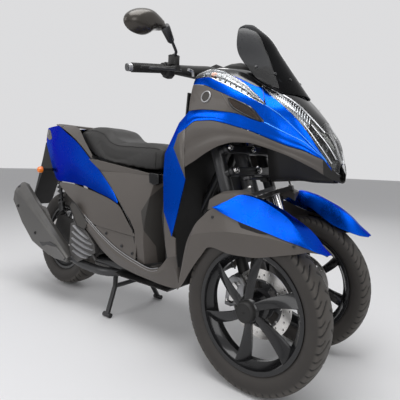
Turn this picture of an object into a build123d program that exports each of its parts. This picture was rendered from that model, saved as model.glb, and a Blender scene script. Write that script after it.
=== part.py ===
"""Leaning three-wheeled scooter: two steered front wheels on a parallelogram, one driven rear wheel.

Frame of reference, in millimetres: +X forward, +Y to the rider's left, +Z up.
The origin is on the ground, under the middle of the vehicle.
It stands on its centre stand, with both front wheels on the ground and the rear wheel just clear of it.
"""
import os
from math import atan2, cos, degrees, hypot, radians, sin, tan

from build123d import *

os.makedirs("parts", exist_ok=True)

# ---------------------------------------------------------------- driving dimensions
WHEELBASE = 1350
FRONT_AXLE_X = 740
REAR_AXLE_X = FRONT_AXLE_X - WHEELBASE
TRACK = 385
REAR_LIFT = 10

FRONT_TYRE_R = 250
FRONT_TYRE_W = 90
FRONT_BEAD_R = 178
FRONT_RIM_HALF = 36
REAR_TYRE_R = 256
REAR_TYRE_W = 130
REAR_BEAD_R = 165
REAR_RIM_HALF = 50
TYRE_WALL = 8
FLANGE_LIP = 9
RIM_WALL = 5
WELL_DEPTH = 18
SPOKES = 6
SPOKE_TWIST = 13
HUB_R = 33
FRONT_AXLE_R = 7.5
REAR_AXLE_R = 10
RUNNING_FIT = 0.1
SEAT_FIT = 0.3
CLEAR = 5

DISC_R = 110
DISC_BAND = 36
DISC_T = 4
DISC_ARMS = 5

CASTER = 20
TRAIL = 68
LINK_HEIGHT = 685
ARM_HALF = 150
PIVOT_LOW = -30
PIVOT_HIGH = 55
PIVOT_PIN_R = 9
ARM_T = 16
ARM_WIDTH = 34
HEAD_R = 30
HEAD_TOP = 200
COLUMN_R = 15
TUBE_R = 24
STEM_R = 13
BRACKET_TOP = -105
BRACKET_T = 18
LEG_Y = 121
LEG_SPREAD = 34
STANCHION_R = 16.5
SLIDER_R = 20.5
SLIDER_TOP = -225
STUD_REACH = 94
ROD_RISE = 34
ROD_R = 6.5

BAR_R = 11
BAR_Z = 1056
GRIP_R = 17
GRIP_IN = 245
BAR_END = 375

SKIN = 4
FRAME_R = 16
HOOP_R = 14
HOOP_Y = 128
RAIL_Y = 140
RAIL_Z = 236

# ---------------------------------------------------------------- places worked out from them
HALF_TRACK = TRACK / 2
FRONT_AXLE_Z = FRONT_TYRE_R
REAR_AXLE_Z = REAR_TYRE_R + REAR_LIFT
LEAN_BACK = radians(CASTER)
AXIS_GROUND_X = FRONT_AXLE_X + TRAIL
HEAD_ORIGIN = Vector(AXIS_GROUND_X - LINK_HEIGHT * tan(LEAN_BACK), 0, LINK_HEIGHT)
UP = Vector(-sin(LEAN_BACK), 0, cos(LEAN_BACK))
AHEAD = Vector(cos(LEAN_BACK), 0, sin(LEAN_BACK))
# Local (ahead, left) on planes square to the steering axis; local (left, up) on planes the links turn in.
HEAD = Plane(origin=HEAD_ORIGIN, x_dir=AHEAD, z_dir=UP)
LINK = Plane(origin=HEAD_ORIGIN, x_dir=(0, 1, 0), z_dir=AHEAD)
AXLE_LOCAL = HEAD.to_local_coords(Vector(FRONT_AXLE_X, 0, FRONT_AXLE_Z))
ARM_NEAR = HEAD_R + 6
ARM_FAR = ARM_NEAR + ARM_T
PIN_FAR = ARM_FAR + 6
ROD_LEVEL = BRACKET_TOP + ROD_RISE


# ---------------------------------------------------------------- helpers
def along(table, x, column):
    """Value of one column of a table at x, straight between its rows."""
    rows = sorted(table)
    for low, high in zip(rows, rows[1:]):
        if low[0] <= x <= high[0]:
            share = (x - low[0]) / (high[0] - low[0])
            return low[column] + share * (high[column] - low[column])
    return rows[0][column] if x < rows[0][0] else rows[-1][column]


def edges_of(table, names, wall, top=None):
    """Edges of a skin by name: each gives its outer and inner (half-width, height) at x.

    The inner point lies one wall inwards, square to the section there, so that neighbours meet in a mitre.
    """
    def chain(x):
        points = [(along(table, x, 1 + 2 * number), along(table, x, 2 + 2 * number)) for number in range(len(names))]
        return [(-points[0][0], points[0][1]) if top is None else (0, along(top, x, 1))] + points

    def edge_named(number):
        def at(x):
            points = chain(x)
            y, z = points[number + 1]
            before = [point for point in points[:number + 1] if point != (y, z)][-1]
            after = ([point for point in points[number + 2:] if point != (y, z)] or [(y, z)])[0]
            length = hypot(after[0] - before[0], after[1] - before[1])
            shift = (wall * (after[1] - before[1]) / length, -wall * (after[0] - before[0]) / length)
            return (y, z), (y + shift[0], z + shift[1])
        return at
    return {name: edge_named(number) for number, name in enumerate(names)}


def skin(rails, stations):
    """A shell on both sides of the middle plane, between edges listed from top to bottom."""
    with BuildPart() as body:
        for x in stations:
            outer, inner = zip(*(edge(x) for edge in rails))
            with BuildSketch(Plane.YZ.offset(x)):
                Polygon(*outer, *inner[::-1], align=None)
        loft(ruled=True)
        mirror(about=Plane.XZ)
    return body.part


def prism(points, inner, outer):
    """A side-view outline of (x, z) points, solid from one half-width to another, on the right."""
    with BuildPart() as body:
        with BuildSketch(Plane.XZ.offset(inner)):
            Polygon(*points, align=None)
        extrude(amount=outer - inner)
    return body.part


def slab(points, half_width):
    """A side-view outline of (x, z) points, solid across the middle plane."""
    with BuildPart() as body:
        with BuildSketch(Plane.XZ):
            Polygon(*points, align=None)
        extrude(amount=half_width, both=True)
    return body.part


def bar(start, end, radius):
    """A straight round bar between two points."""
    start, end = Vector(*start), Vector(*end)
    with BuildPart() as body:
        with BuildSketch(Plane(origin=start, z_dir=end - start)):
            Circle(radius)
        extrude(amount=(end - start).length)
    return body.part


def tube(points, radius, bend):
    """A bent round bar: straight runs joined by arcs."""
    with BuildPart() as body:
        with BuildLine() as path:
            FilletPolyline(*points, radius=bend)
        with BuildSketch(Plane(origin=path.line @ 0, z_dir=path.line % 0)):
            Circle(radius)
        sweep()
    return body.part


def block(x, y, z):
    """A box between two x, two y and two z values."""
    with BuildPart() as body:
        with Locations(((x[0] + x[1]) / 2, (y[0] + y[1]) / 2, (z[0] + z[1]) / 2)):
            Box(x[1] - x[0], y[1] - y[0], z[1] - z[0])
    return body.part


def tyre(centre, radius, width, bead, rim_half):
    """A hollow carcass whose beads sit on the rim, inside its lips."""
    half = width / 2
    shoulder = radius - 0.28 * half
    lip = bead + FLANGE_LIP + 1
    belly = bead + 0.5 * (radius - bead)
    seat_in = rim_half - RIM_WALL
    foot = bead + SEAT_FIT
    with BuildPart() as body:
        with BuildSketch(Plane(origin=centre)):
            with BuildLine():
                ThreePointArc((shoulder, 4 - half), (radius, 0), (shoulder, half - 4))
                for side in (-1, 1):
                    low, high = (lip + belly) / 2, (belly + shoulder) / 2
                    ThreePointArc((shoulder, side * (half - 4)), (high + 1, side * (half - 1)), (belly, side * half))
                    ThreePointArc(
                        (belly, side * half), (low - 1, side * (0.3 * seat_in + 0.7 * half)), (lip, side * seat_in))
                    Line((lip, side * seat_in), (foot, side * seat_in))
                Line((foot, -seat_in), (foot, seat_in))
            make_face()
            Polygon(
                (bead - 1, seat_in - TYRE_WALL), (belly, half - TYRE_WALL), (shoulder - 4, half - 2 * TYRE_WALL),
                (radius - TYRE_WALL - 4, 0), (shoulder - 4, 2 * TYRE_WALL - half), (belly, TYRE_WALL - half),
                (bead - 1, TYRE_WALL - seat_in), align=None, mode=Mode.SUBTRACT)
        revolve(axis=Axis(centre, (0, 1, 0)))
    return body.part


def rim(centre, bead, rim_half, hub_in, hub_out, axle_r, outward):
    """A rim with its well, swept spokes and a bored hub; outward is the side the spokes show on."""
    seat_in = rim_half - RIM_WALL
    well = bead - WELL_DEPTH
    lip = bead + FLANGE_LIP
    x, y, z = centre
    with BuildPart() as body:
        with BuildSketch(Plane(origin=centre)):
            Polygon(
                (lip, -rim_half), (lip, -seat_in), (bead, -seat_in), (bead, -seat_in + 12), (well, -seat_in + 24),
                (well, seat_in - 24), (bead, seat_in - 12), (bead, seat_in), (lip, seat_in), (lip, rim_half),
                (bead - RIM_WALL, rim_half), (bead - RIM_WALL, seat_in - 10), (well - RIM_WALL, seat_in - 22),
                (well - RIM_WALL, 22 - seat_in), (bead - RIM_WALL, 10 - seat_in), (bead - RIM_WALL, -rim_half),
                align=None)
        revolve(axis=Axis(centre, (0, 1, 0)))
        with BuildSketch(Plane(origin=(x, y + hub_in, z), x_dir=(1, 0, 0), z_dir=(0, 1, 0))):
            Circle(HUB_R)
        extrude(amount=hub_out - hub_in)
        for number in range(SPOKES):
            turn = radians(90 + number * 360 / SPOKES)
            swing = radians(SPOKE_TWIST) * outward
            root = Vector(cos(turn), 0, sin(turn))
            tip = Vector(cos(turn + swing), 0, sin(turn + swing))
            side = Vector(0, outward, 0)
            with BuildSketch(Plane(origin=Vector(*centre) + root * (HUB_R - 6) + side * 8, x_dir=(0, 1, 0), z_dir=root)):
                Rectangle(30, 34)
            with BuildSketch(Plane(origin=Vector(*centre) + tip * (well - 2) + side * 12, x_dir=(0, 1, 0), z_dir=root)):
                Rectangle(20, 26)
            loft(ruled=True)
        with Locations(Location((x, y, z), (90, 0, 0))):
            Hole(axle_r + RUNNING_FIT)
    return body.part


def brake_disc(centre, near, far, hub_r):
    """A brake disc on a carrier with open windows, between two y values."""
    x, _, z = centre
    with BuildPart() as body:
        with BuildSketch(Plane(origin=(x, min(near, far), z), x_dir=(1, 0, 0), z_dir=(0, 1, 0))):
            Circle(DISC_R)
            Circle(DISC_R - DISC_BAND, mode=Mode.SUBTRACT)
            with PolarLocations(0, DISC_ARMS):
                with Locations(((DISC_R - DISC_BAND + hub_r) / 2 + 2, 0)):
                    Rectangle(DISC_R - DISC_BAND - hub_r + 10, 16)
            Circle(hub_r + 10)
            Circle(hub_r, mode=Mode.SUBTRACT)
        extrude(amount=abs(far - near))
    return body.part


pieces = {}


def finish(name, body):
    """Label a finished piece and write its file."""
    body.label = name
    export_step(body, f"parts/{name}.step")
    pieces[name] = body


# ---------------------------------------------------------------- frame
HEAD_FOOT = BRACKET_TOP + SEAT_FIT
HINGE_X, HINGE_Z, HINGE_PIN_R = 200, 672, 4
HOOP_X, HOOP_Z = 120, 650
LUG_IN, LUG_OUT = 20, 26
STAND_X, STAND_Z, STAND_PIN_R = -95, 205, 9
SIDE_STAND_X, SIDE_STAND_Y, SIDE_STAND_Z, SIDE_PIN_R = 60, 150, 190, 7
with BuildPart() as frame:
    with BuildSketch(HEAD.offset(HEAD_FOOT)):
        Circle(HEAD_R)
    extrude(amount=HEAD_TOP - HEAD_FOOT)
    for side in (-1, 1):
        add(tube([
            (514, side * 14, 800), (352, side * 62, 420), (318, side * RAIL_Y, RAIL_Z), (-180, side * RAIL_Y, RAIL_Z),
            (-330, side * RAIL_Y, 560), (-740, side * 60, 790)], FRAME_R, 50))
        add(tube([
            (HOOP_X, side * HOOP_Y, RAIL_Z), (HOOP_X, side * HOOP_Y, HOOP_Z), (-380, side * HOOP_Y, HOOP_Z),
            (-490, side * 106, HOOP_Z + 2)],
            HOOP_R, 50))
        add(prism([
            (HOOP_X - 8, HOOP_Z - 20), (HOOP_X + 8, HOOP_Z - 24), (HINGE_X + 6, HINGE_Z - 5), (HINGE_X + 6, HINGE_Z + 4),
            (HINGE_X - 5, HINGE_Z + 5), (HOOP_X + 2, HOOP_Z)], LUG_IN, LUG_OUT))
    for x, half, z, radius in (
            (318, RAIL_Y - 10, RAIL_Z, 14), (HOOP_X, HOOP_Y, HOOP_Z - 12, 11), (-180, RAIL_Y, RAIL_Z, 14),
            (-644, 98, 726, 14), (STAND_X, RAIL_Y, RAIL_Z, 12)):
        add(bar((x, -half, z), (x, half, z), radius))
    add(bar((HINGE_X, -LUG_OUT, HINGE_Z), (HINGE_X, LUG_OUT, HINGE_Z), HINGE_PIN_R))
    for height in (PIVOT_LOW, PIVOT_HIGH):
        with BuildSketch(LINK.offset(HEAD_R - 6)):
            with Locations((0, height)):
                Circle(PIVOT_PIN_R + 7)
        extrude(amount=ARM_NEAR - SEAT_FIT - HEAD_R + 6)
        with BuildSketch(LINK.offset(HEAD_R - 6)):
            with Locations((0, height)):
                Circle(PIVOT_PIN_R)
        extrude(amount=PIN_FAR - HEAD_R + 6)
    for side in (-1, 1):
        add(block((STAND_X - 14, STAND_X + 14), (side * 106 - 6, side * 106 + 6), (STAND_Z - 14, RAIL_Z)))
    add(bar((STAND_X, -111, STAND_Z), (STAND_X, 111, STAND_Z), STAND_PIN_R))
    add(block((SIDE_STAND_X - 14, SIDE_STAND_X + 14), (SIDE_STAND_Y - 12, SIDE_STAND_Y - SEAT_FIT),
              (SIDE_STAND_Z - 14, RAIL_Z)))
    add(bar((SIDE_STAND_X, SIDE_STAND_Y - 6, SIDE_STAND_Z), (SIDE_STAND_X, SIDE_STAND_Y + 20, SIDE_STAND_Z),
            SIDE_PIN_R))
    with BuildSketch(HEAD.offset(HEAD_FOOT - 1)):
        Circle(COLUMN_R + RUNNING_FIT)
    extrude(amount=HEAD_TOP - HEAD_FOOT + 2, mode=Mode.SUBTRACT)
finish("frame", frame.part)

# ---------------------------------------------------------------- parallelogram links and uprights
for name, height in (("lower_arm", PIVOT_LOW), ("upper_arm", PIVOT_HIGH)):
    with BuildPart() as arm:
        with BuildSketch(LINK.offset(ARM_NEAR)):
            with Locations((0, height)):
                SlotCenterToCenter(2 * ARM_HALF, ARM_WIDTH)
            with Locations((-ARM_HALF, height), (0, height), (ARM_HALF, height)):
                Circle(PIVOT_PIN_R + RUNNING_FIT, mode=Mode.SUBTRACT)
        extrude(amount=ARM_T)
        edges = arm.part.edges().filter_by(lambda e: e.length > ARM_HALF)
        chamfer(edges, 3)
    finish(name, arm.part)

UPRIGHT_TOP = PIVOT_HIGH + 22
for name, side in (("upright_left", 1), ("upright_right", -1)):
    with BuildPart() as upright:
        with BuildSketch(HEAD.offset(BRACKET_TOP + SEAT_FIT)):
            with Locations((0, side * ARM_HALF)):
                Circle(TUBE_R)
        extrude(amount=UPRIGHT_TOP - BRACKET_TOP - SEAT_FIT)
        for height in (PIVOT_LOW, PIVOT_HIGH):
            for radius, reach in ((PIVOT_PIN_R + 7, ARM_NEAR - SEAT_FIT), (PIVOT_PIN_R, PIN_FAR)):
                with BuildSketch(LINK.offset(TUBE_R - 8)):
                    with Locations((side * ARM_HALF, height)):
                        Circle(radius)
                extrude(amount=reach - TUBE_R + 8)
        with BuildSketch(HEAD.offset(BRACKET_TOP)):
            with Locations((0, side * ARM_HALF)):
                Circle(STEM_R + RUNNING_FIT)
        extrude(amount=UPRIGHT_TOP - BRACKET_TOP + 1, mode=Mode.SUBTRACT)
    finish(name, upright.part)

# ---------------------------------------------------------------- forks: tandem legs inboard of each wheel
AXLE_AHEAD, AXLE_UP = AXLE_LOCAL.X, AXLE_LOCAL.Z
BLOCK_OUT = HALF_TRACK - FRONT_TYRE_W / 2 - CLEAR - 1
HUB_IN = HALF_TRACK - 44
HUB_OUT = HALF_TRACK + 44
DISC_NEAR = BLOCK_OUT + 7
BALL_R = 8
NECK_R = 3.5
CALIPER_GAP = 3
FENDER_IN, FENDER_OUT = 150, 247
STAY_X, STAY_Z = (606, 650), (548, 572)
for name, side in (("fork_left", 1), ("fork_right", -1)):
    with BuildPart() as fork:
        with BuildSketch(HEAD.offset(BRACKET_TOP - BRACKET_T)):
            with BuildLine():
                Polyline(
                    (-LEG_SPREAD - 22, side * LEG_Y), (-LEG_SPREAD, side * (LEG_Y - 22)),
                    (LEG_SPREAD, side * (LEG_Y - 22)), (LEG_SPREAD + 22, side * LEG_Y),
                    (STUD_REACH + 8, side * (ARM_HALF - 8)), (STUD_REACH + 8, side * (ARM_HALF + 8)),
                    (20, side * (ARM_HALF + 24)), (-20, side * (ARM_HALF + 24)), close=True)
            make_face()
        extrude(amount=BRACKET_T)
        with BuildSketch(HEAD.offset(BRACKET_TOP - 1)):
            with Locations((0, side * ARM_HALF)):
                Circle(STEM_R)
        extrude(amount=UPRIGHT_TOP - BRACKET_TOP + 1)
        with BuildSketch(HEAD.offset(UPRIGHT_TOP + SEAT_FIT)):
            with Locations((0, side * ARM_HALF)):
                Circle(STEM_R + 8)
        extrude(amount=9)
        with BuildSketch(HEAD.offset(UPRIGHT_TOP - 1)):
            with Locations((0, side * ARM_HALF)):
                Circle(STEM_R)
        extrude(amount=3)
        for spread in (-LEG_SPREAD, LEG_SPREAD):
            for radius, low, high in ((STANCHION_R, SLIDER_TOP - 5, BRACKET_TOP - 1), (SLIDER_R, AXLE_UP, SLIDER_TOP)):
                with BuildSketch(HEAD.offset(low)):
                    with Locations((spread, side * LEG_Y)):
                        Circle(radius)
                extrude(amount=high - low)
        with BuildSketch(HEAD.offset(AXLE_UP - 26)):
            with Locations((0, side * LEG_Y)):
                RectangleRounded(2 * LEG_SPREAD + 52, 2 * SLIDER_R, 18)
        extrude(amount=56)
        axle_start = side * LEG_Y
        add(bar(
            (FRONT_AXLE_X, axle_start, FRONT_AXLE_Z), (FRONT_AXLE_X, side * (HUB_OUT + 6), FRONT_AXLE_Z), FRONT_AXLE_R))
        add(bar(
            (FRONT_AXLE_X, side * (HUB_OUT + SEAT_FIT), FRONT_AXLE_Z), (FRONT_AXLE_X, side * (HUB_OUT + 8), FRONT_AXLE_Z),
            15))
        add(bar(
            (FRONT_AXLE_X, side * (BLOCK_OUT - 4), FRONT_AXLE_Z),
            (FRONT_AXLE_X, side * (HUB_IN - SEAT_FIT), FRONT_AXLE_Z), 14))
        for radius, low, high in ((NECK_R, BRACKET_TOP - 1, ROD_LEVEL),):
            with BuildSketch(HEAD.offset(low)):
                with Locations((STUD_REACH, side * ARM_HALF)):
                    Circle(radius)
            extrude(amount=high - low)
        with Locations(HEAD.from_local_coords(Vector(STUD_REACH, side * ARM_HALF, ROD_LEVEL))):
            Sphere(BALL_R)
        caliper = [(616, 236), (668, 226), (676, 300), (640, 312), (612, 296)]
        gap_in, gap_out = DISC_NEAR - CALIPER_GAP, DISC_NEAR + DISC_T + CALIPER_GAP
        for low, high in ((LEG_Y - 6, gap_in), (gap_out, gap_out + 14)):
            add(block((616, 672), sorted((side * low, side * high)), (232, 306)))
        add(block((616, 624), sorted((side * (gap_in - 1), side * (gap_out + 1))), (232, 306)))
        add(block(STAY_X, sorted((side * (LEG_Y - 4), side * (FENDER_IN - SEAT_FIT))), STAY_Z))
    finish(name, fork.part)

# ---------------------------------------------------------------- tie rod and its knuckle
with BuildPart() as knuckle:
    with BuildSketch(HEAD.offset(ROD_LEVEL - 9)):
        with Locations((STUD_REACH, 0)):
            Rectangle(24, 20)
            Circle(5 + RUNNING_FIT, mode=Mode.SUBTRACT)
    extrude(amount=18)
    for start, reach in ((11, 13), (-11, -13)):
        with BuildSketch(LINK.offset(STUD_REACH + start)):
            with Locations((0, ROD_LEVEL)):
                Circle(5)
        extrude(amount=reach)
finish("tie_rod_knuckle", knuckle.part)

PLATE_NEAR = 14
with BuildPart() as tie_rod:
    for offset in (PLATE_NEAR, -PLATE_NEAR - 6):
        with BuildSketch(LINK.offset(STUD_REACH + offset)):
            with Locations((0, ROD_LEVEL)):
                SlotOverall(70, 18)
                Circle(5 + RUNNING_FIT, mode=Mode.SUBTRACT)
        extrude(amount=6)
    for side in (-1, 1):
        with BuildSketch(LINK.offset(STUD_REACH - PLATE_NEAR - 1)):
            with Locations((side * 29, ROD_LEVEL)):
                Rectangle(10, 14)
        extrude(amount=2 * PLATE_NEAR + 2)
        root = HEAD.from_local_coords(Vector(STUD_REACH, side * 28, ROD_LEVEL))
        tip = HEAD.from_local_coords(Vector(STUD_REACH, side * (ARM_HALF - BALL_R - 4), ROD_LEVEL))
        add(bar(root, tip, ROD_R))
        with BuildSketch(HEAD.offset(ROD_LEVEL - 4)):
            with Locations((STUD_REACH, side * ARM_HALF)):
                Circle(BALL_R + 7)
        extrude(amount=8)
    for side in (-1, 1):
        with BuildSketch(HEAD.offset(ROD_LEVEL - 20)):
            with Locations((STUD_REACH, side * ARM_HALF)):
                Circle(BALL_R + 1.5)
        extrude(amount=40, mode=Mode.SUBTRACT)
finish("tie_rod", tie_rod.part)

# ---------------------------------------------------------------- steering column and handlebar
STEER_PLATE_T = 14
CLAMP_TOP = HEAD.to_local_coords(Vector(420, 0, BAR_Z)).Z
GRIP_LINE = ((420, 70, BAR_Z), (352, 215, 1050), (318, BAR_END, 1022))
with BuildPart() as column:
    with BuildSketch(HEAD.offset(BRACKET_TOP - STEER_PLATE_T)):
        with BuildLine():
            Polyline(
                (-20, 12), (0, 24), (STUD_REACH + 8, 9), (STUD_REACH + 8, -9), (0, -24), (-20, -12), close=True)
        make_face()
    extrude(amount=STEER_PLATE_T)
    with BuildSketch(HEAD.offset(BRACKET_TOP - 2)):
        Circle(COLUMN_R)
    extrude(amount=CLAMP_TOP - 8 - BRACKET_TOP + 2)
    with BuildSketch(HEAD.offset(HEAD_TOP + SEAT_FIT)):
        Circle(HEAD_R)
    extrude(amount=10)
    with BuildSketch(HEAD.offset(BRACKET_TOP - 2)):
        with Locations((STUD_REACH, 0)):
            Circle(5)
    extrude(amount=ROD_RISE + 14)
finish("steering_column", column.part)

LEFT_LINE = [Vector(*point) for point in GRIP_LINE]
RIGHT_LINE = [Vector(point.X, -point.Y, point.Z) for point in LEFT_LINE]

def on_grip(y, side):
    """Point on the bar's outer run at a half-width."""
    share = (y - LEFT_LINE[1].Y) / (LEFT_LINE[2].Y - LEFT_LINE[1].Y)
    point = LEFT_LINE[1] + (LEFT_LINE[2] - LEFT_LINE[1]) * share
    return Vector(point.X, side * point.Y, point.Z)


with BuildPart() as handlebar:
    add(tube(RIGHT_LINE[::-1] + LEFT_LINE, BAR_R, 45))
    with BuildSketch(HEAD.offset(CLAMP_TOP - 40)):
        Circle(26)
    extrude(amount=54)
    for side in (-1, 1):
        add(bar(on_grip(BAR_END - 2, side), on_grip(BAR_END + 14, side), 13))
    add(column.part, mode=Mode.SUBTRACT)
finish("handlebar", handlebar.part)


with BuildPart() as grips:
    for side in (-1, 1):
        add(bar(on_grip(GRIP_IN, side), on_grip(BAR_END - 4, side), GRIP_R))
        add(bar(on_grip(GRIP_IN, side), on_grip(GRIP_IN + 5, side), GRIP_R + 5))
    for side in (-1, 1):
        add(bar(on_grip(GRIP_IN - 5, side), on_grip(BAR_END + 5, side), BAR_R + RUNNING_FIT), mode=Mode.SUBTRACT)
finish("grips", grips.part)

with BuildPart() as controls:
    for side in (-1, 1):
        near, far = on_grip(216, side), on_grip(GRIP_IN - 1, side)
        with BuildSketch(Plane(origin=near, x_dir=(0, 0, 1), z_dir=far - near)):
            RectangleRounded(46, 50, 14)
        extrude(amount=(far - near).length)
        reservoir = on_grip(222, side)
        with Locations((reservoir.X + 22, reservoir.Y, reservoir.Z + 26)):
            Cylinder(21, 34)
        lever = on_grip(230, side)
        end = on_grip(368, side)
        add(block(
            (lever.X + 10, lever.X + 56), sorted((lever.Y - 10, lever.Y + 10)), (lever.Z - 14, lever.Z + 6)))
        add(bar((lever.X + 50, lever.Y, lever.Z - 4), (end.X + 46, end.Y, end.Z - 4), 6))
    add(handlebar.part, mode=Mode.SUBTRACT)
finish("controls", controls.part)

BAR_COVER = [(384, 1044), (398, 1086), (442, 1096), (456, 1068), (450, 1040), (430, 1032), (396, 1032)]
with BuildPart() as bar_cover:
    add(slab(BAR_COVER, 56))
    add(handlebar.part, mode=Mode.SUBTRACT)
    add(column.part, mode=Mode.SUBTRACT)
finish("bar_cover", bar_cover.part)

MIRROR_X = 410
# y, z of the head's outline, seen from the rider, for the left mirror
MIRROR_OUTLINE = [(308, 1188), (326, 1204), (375, 1206), (440, 1186), (484, 1148), (474, 1122), (430, 1112), (350, 1132)]
with BuildPart() as mirrors:
    for side in (-1, 1):
        outline = [(side * y, z) for y, z in MIRROR_OUTLINE]
        middle_y = sum(y for y, _ in outline) / len(outline)
        middle_z = sum(z for _, z in outline) / len(outline)
        shapes = ((0, 1.0), (22, 0.94), (44, 0.62))
        for depth, share in shapes:
            with BuildSketch(Plane.YZ.offset(MIRROR_X + depth)):
                Polygon(*[(middle_y + share * (y - middle_y), middle_z + share * (z - middle_z)) for y, z in outline],
                        align=None)
        loft(ruled=True)
        foot = on_grip(226, side)
        elbow = (foot.X + 52, side * 246, 1112)
        add(bar((foot.X + 30, foot.Y, foot.Z + 40), elbow, 6))
        add(bar(elbow, (MIRROR_X + 18, side * 330, 1172), 9))
    add(controls.part, mode=Mode.SUBTRACT)
finish("mirrors", mirrors.part)

# ---------------------------------------------------------------- wheels
left, right = (FRONT_AXLE_X, HALF_TRACK, FRONT_AXLE_Z), (FRONT_AXLE_X, -HALF_TRACK, FRONT_AXLE_Z)
rear = (REAR_AXLE_X, 0, REAR_AXLE_Z)
for name, centre, side in (("left", left, 1), ("right", right, -1)):
    finish(f"tyre_{name}", tyre(centre, FRONT_TYRE_R, FRONT_TYRE_W, FRONT_BEAD_R, FRONT_RIM_HALF))
    hub_in, hub_out = sorted((side * (HUB_IN - HALF_TRACK), side * (HUB_OUT - HALF_TRACK)))
    with BuildPart() as front_rim:
        add(rim(centre, FRONT_BEAD_R, FRONT_RIM_HALF, hub_in, hub_out, FRONT_AXLE_R, side))
    finish(f"rim_{name}", front_rim.part)
    with BuildPart() as front_disc:
        add(brake_disc(centre, side * DISC_NEAR, side * (DISC_NEAR + DISC_T), HUB_R + SEAT_FIT / 3))
    finish(f"disc_{name}", front_disc.part)

REAR_HUB_HALF = 62
REAR_DISC_NEAR = 68
finish("tyre_rear", tyre(rear, REAR_TYRE_R, REAR_TYRE_W, REAR_BEAD_R, REAR_RIM_HALF))
finish("rim_rear", rim(rear, REAR_BEAD_R, REAR_RIM_HALF, -REAR_HUB_HALF - 12, REAR_HUB_HALF, REAR_AXLE_R, -1))
finish("disc_rear", brake_disc(rear, -REAR_DISC_NEAR, -REAR_DISC_NEAR - DISC_T, HUB_R + SEAT_FIT / 3))

# ---------------------------------------------------------------- front fenders
# x, outer edge z, ridge half-width and z, inner edge half-width and z
FENDER = [
    (560, 536, 205, 552, FENDER_IN, 548), (600, 552, 205, 570, FENDER_IN, 566), (680, 526, 196, 600, FENDER_IN, 594),
    (760, 508, 194, 582, FENDER_IN, 574), (860, 486, 192, 540, FENDER_IN, 530), (930, 472, 192, 502, FENDER_IN, 490),
    (988, 452, 192, 460, FENDER_IN + 10, 446)]
FENDER_WALL = 3
# x, z down the side wall and its pointed rear flap
FENDER_SIDE = [(988, 451), (930, 471), (860, 485), (760, 507), (680, 525), (600, 551), (587, 545), (496, 448), (454, 256),
               (462, 262), (490, 290), (556, 388), (595, 430), (665, 415), (755, 417), (851, 438), (938, 456)]
FLAP_BACK = [(587, 545), (496, 448), (454, 256), (457.5, 255), (500, 446), (590, 542)]
for name, side in (("left", 1), ("right", -1)):
    with BuildPart() as fender_top:
        for x, z_out, y_ridge, z_ridge, y_in, z_in in FENDER:
            outer = [(FENDER_OUT, z_out), (y_ridge, z_ridge), (y_in, z_in)]
            loop = outer + [(y - 2 * (y == FENDER_OUT) + 2 * (y == y_in), z - FENDER_WALL - 1) for y, z in outer[::-1]]
            with BuildSketch(Plane.YZ.offset(x)):
                Polygon(*[(side * y, z) for y, z in loop], align=None)
        loft(ruled=True)
    finish(f"fender_top_{name}", fender_top.part)
    with BuildPart() as fender_side:
        add(prism(FENDER_SIDE, FENDER_OUT - FENDER_WALL, FENDER_OUT))
        add(prism(FLAP_BACK, FENDER_IN, FENDER_OUT))
        add(prism([(553, 512), (566, 527), (STAY_X[0] - 6, 554), (STAY_X[1], 576), (STAY_X[1], 540), (STAY_X[0], 516),
                   (547, 498)], FENDER_IN, FENDER_IN + FENDER_WALL))
        if side == 1:
            mirror(about=Plane.XZ, mode=Mode.REPLACE)
        add(fender_top.part, mode=Mode.SUBTRACT)
    finish(f"fender_side_{name}", fender_side.part)


# ---------------------------------------------------------------- front cowl
# Edges of the cowl's skin, (half-width, height) at each x, from the middle line down to the wheel arch:
# cover: lower edge of the black top cover; lamp: outer edge of the headlight; lens: top of the turn lamp;
# crease: upper fold; badge: top of the side panel; fold: lower fold; band: lower edge of the blue band.
COWL_EDGES = ("cover", "lamp", "lens", "crease", "badge", "fold", "band", "arch")
COWL = [
    (400, 152, 1024, 152, 1024, 172, 1012, 186, 994, 195, 984, 214, 872, 231, 762, 228, 640),
    (450, 148, 1042, 148, 1042, 166, 1032, 185, 1008, 195, 984, 214, 884, 229, 818, 227, 678),
    (500, 142, 1050, 142, 1050, 162, 1038, 182, 1010, 194, 978, 212, 886, 225, 845, 224, 706),
    (550, 132, 1044, 132, 1044, 156, 1028, 180, 990, 193, 957, 209, 882, 218, 845, 219, 736),
    (600, 122, 1033, 122, 1033, 152, 1008, 178, 966, 192, 935, 203, 875, 210, 836, 213, 758),
    (650, 113, 1018, 113, 1018, 155, 978, 174, 940, 186, 911, 192, 866, 199, 822, 204, 768),
    (700, 104, 996, 108, 990, 158, 936, 170, 914, 178, 884, 182, 848, 188, 807, 193, 766),
    (740, 97, 966, 114, 940, 158, 898, 160, 893, 168, 842, 169, 836, 175, 791, 179, 756),
    (780, 89, 940, 120, 906, 142, 867, 143, 865, 154, 820, 155, 816, 160, 774, 161, 742),
    (820, 78, 908, 118, 868, 126, 832, 127, 828, 134, 798, 135, 795, 139, 758, 141, 726),
    (860, 64, 866, 104, 822, 109, 790, 110, 786, 114, 776, 115, 773, 117, 746, 115, 704),
    (890, 50, 832, 90, 776, 92, 756, 93, 752, 94, 748, 95, 745, 95, 730, 91, 686),
    (910, 42, 806, 76, 730, 76.5, 729, 77, 728, 77.5, 726, 78, 725, 78, 720, 72, 670),
    (930, 34, 768, 58, 694, 58, 693, 58, 692, 58, 690, 57, 688, 56, 686, 50, 656),
    (948, 22, 706, 34, 672, 34, 671, 34, 670, 33, 669, 33, 668, 32, 667, 26, 650)]
TOP = [(440, 1040), (480, 1054), (520, 1062), (560, 1062), (620, 1050), (700, 1012), (760, 972), (800, 945), (830, 915),
       (860, 882), (890, 846), (922, 778), (948, 708)]
edge = edges_of(COWL, COWL_EDGES, SKIN, TOP)
COWL_X = [row[0] for row in COWL]
DASH_X = 484
LAMP_START = 700
LENS_TIP = 740
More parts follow.
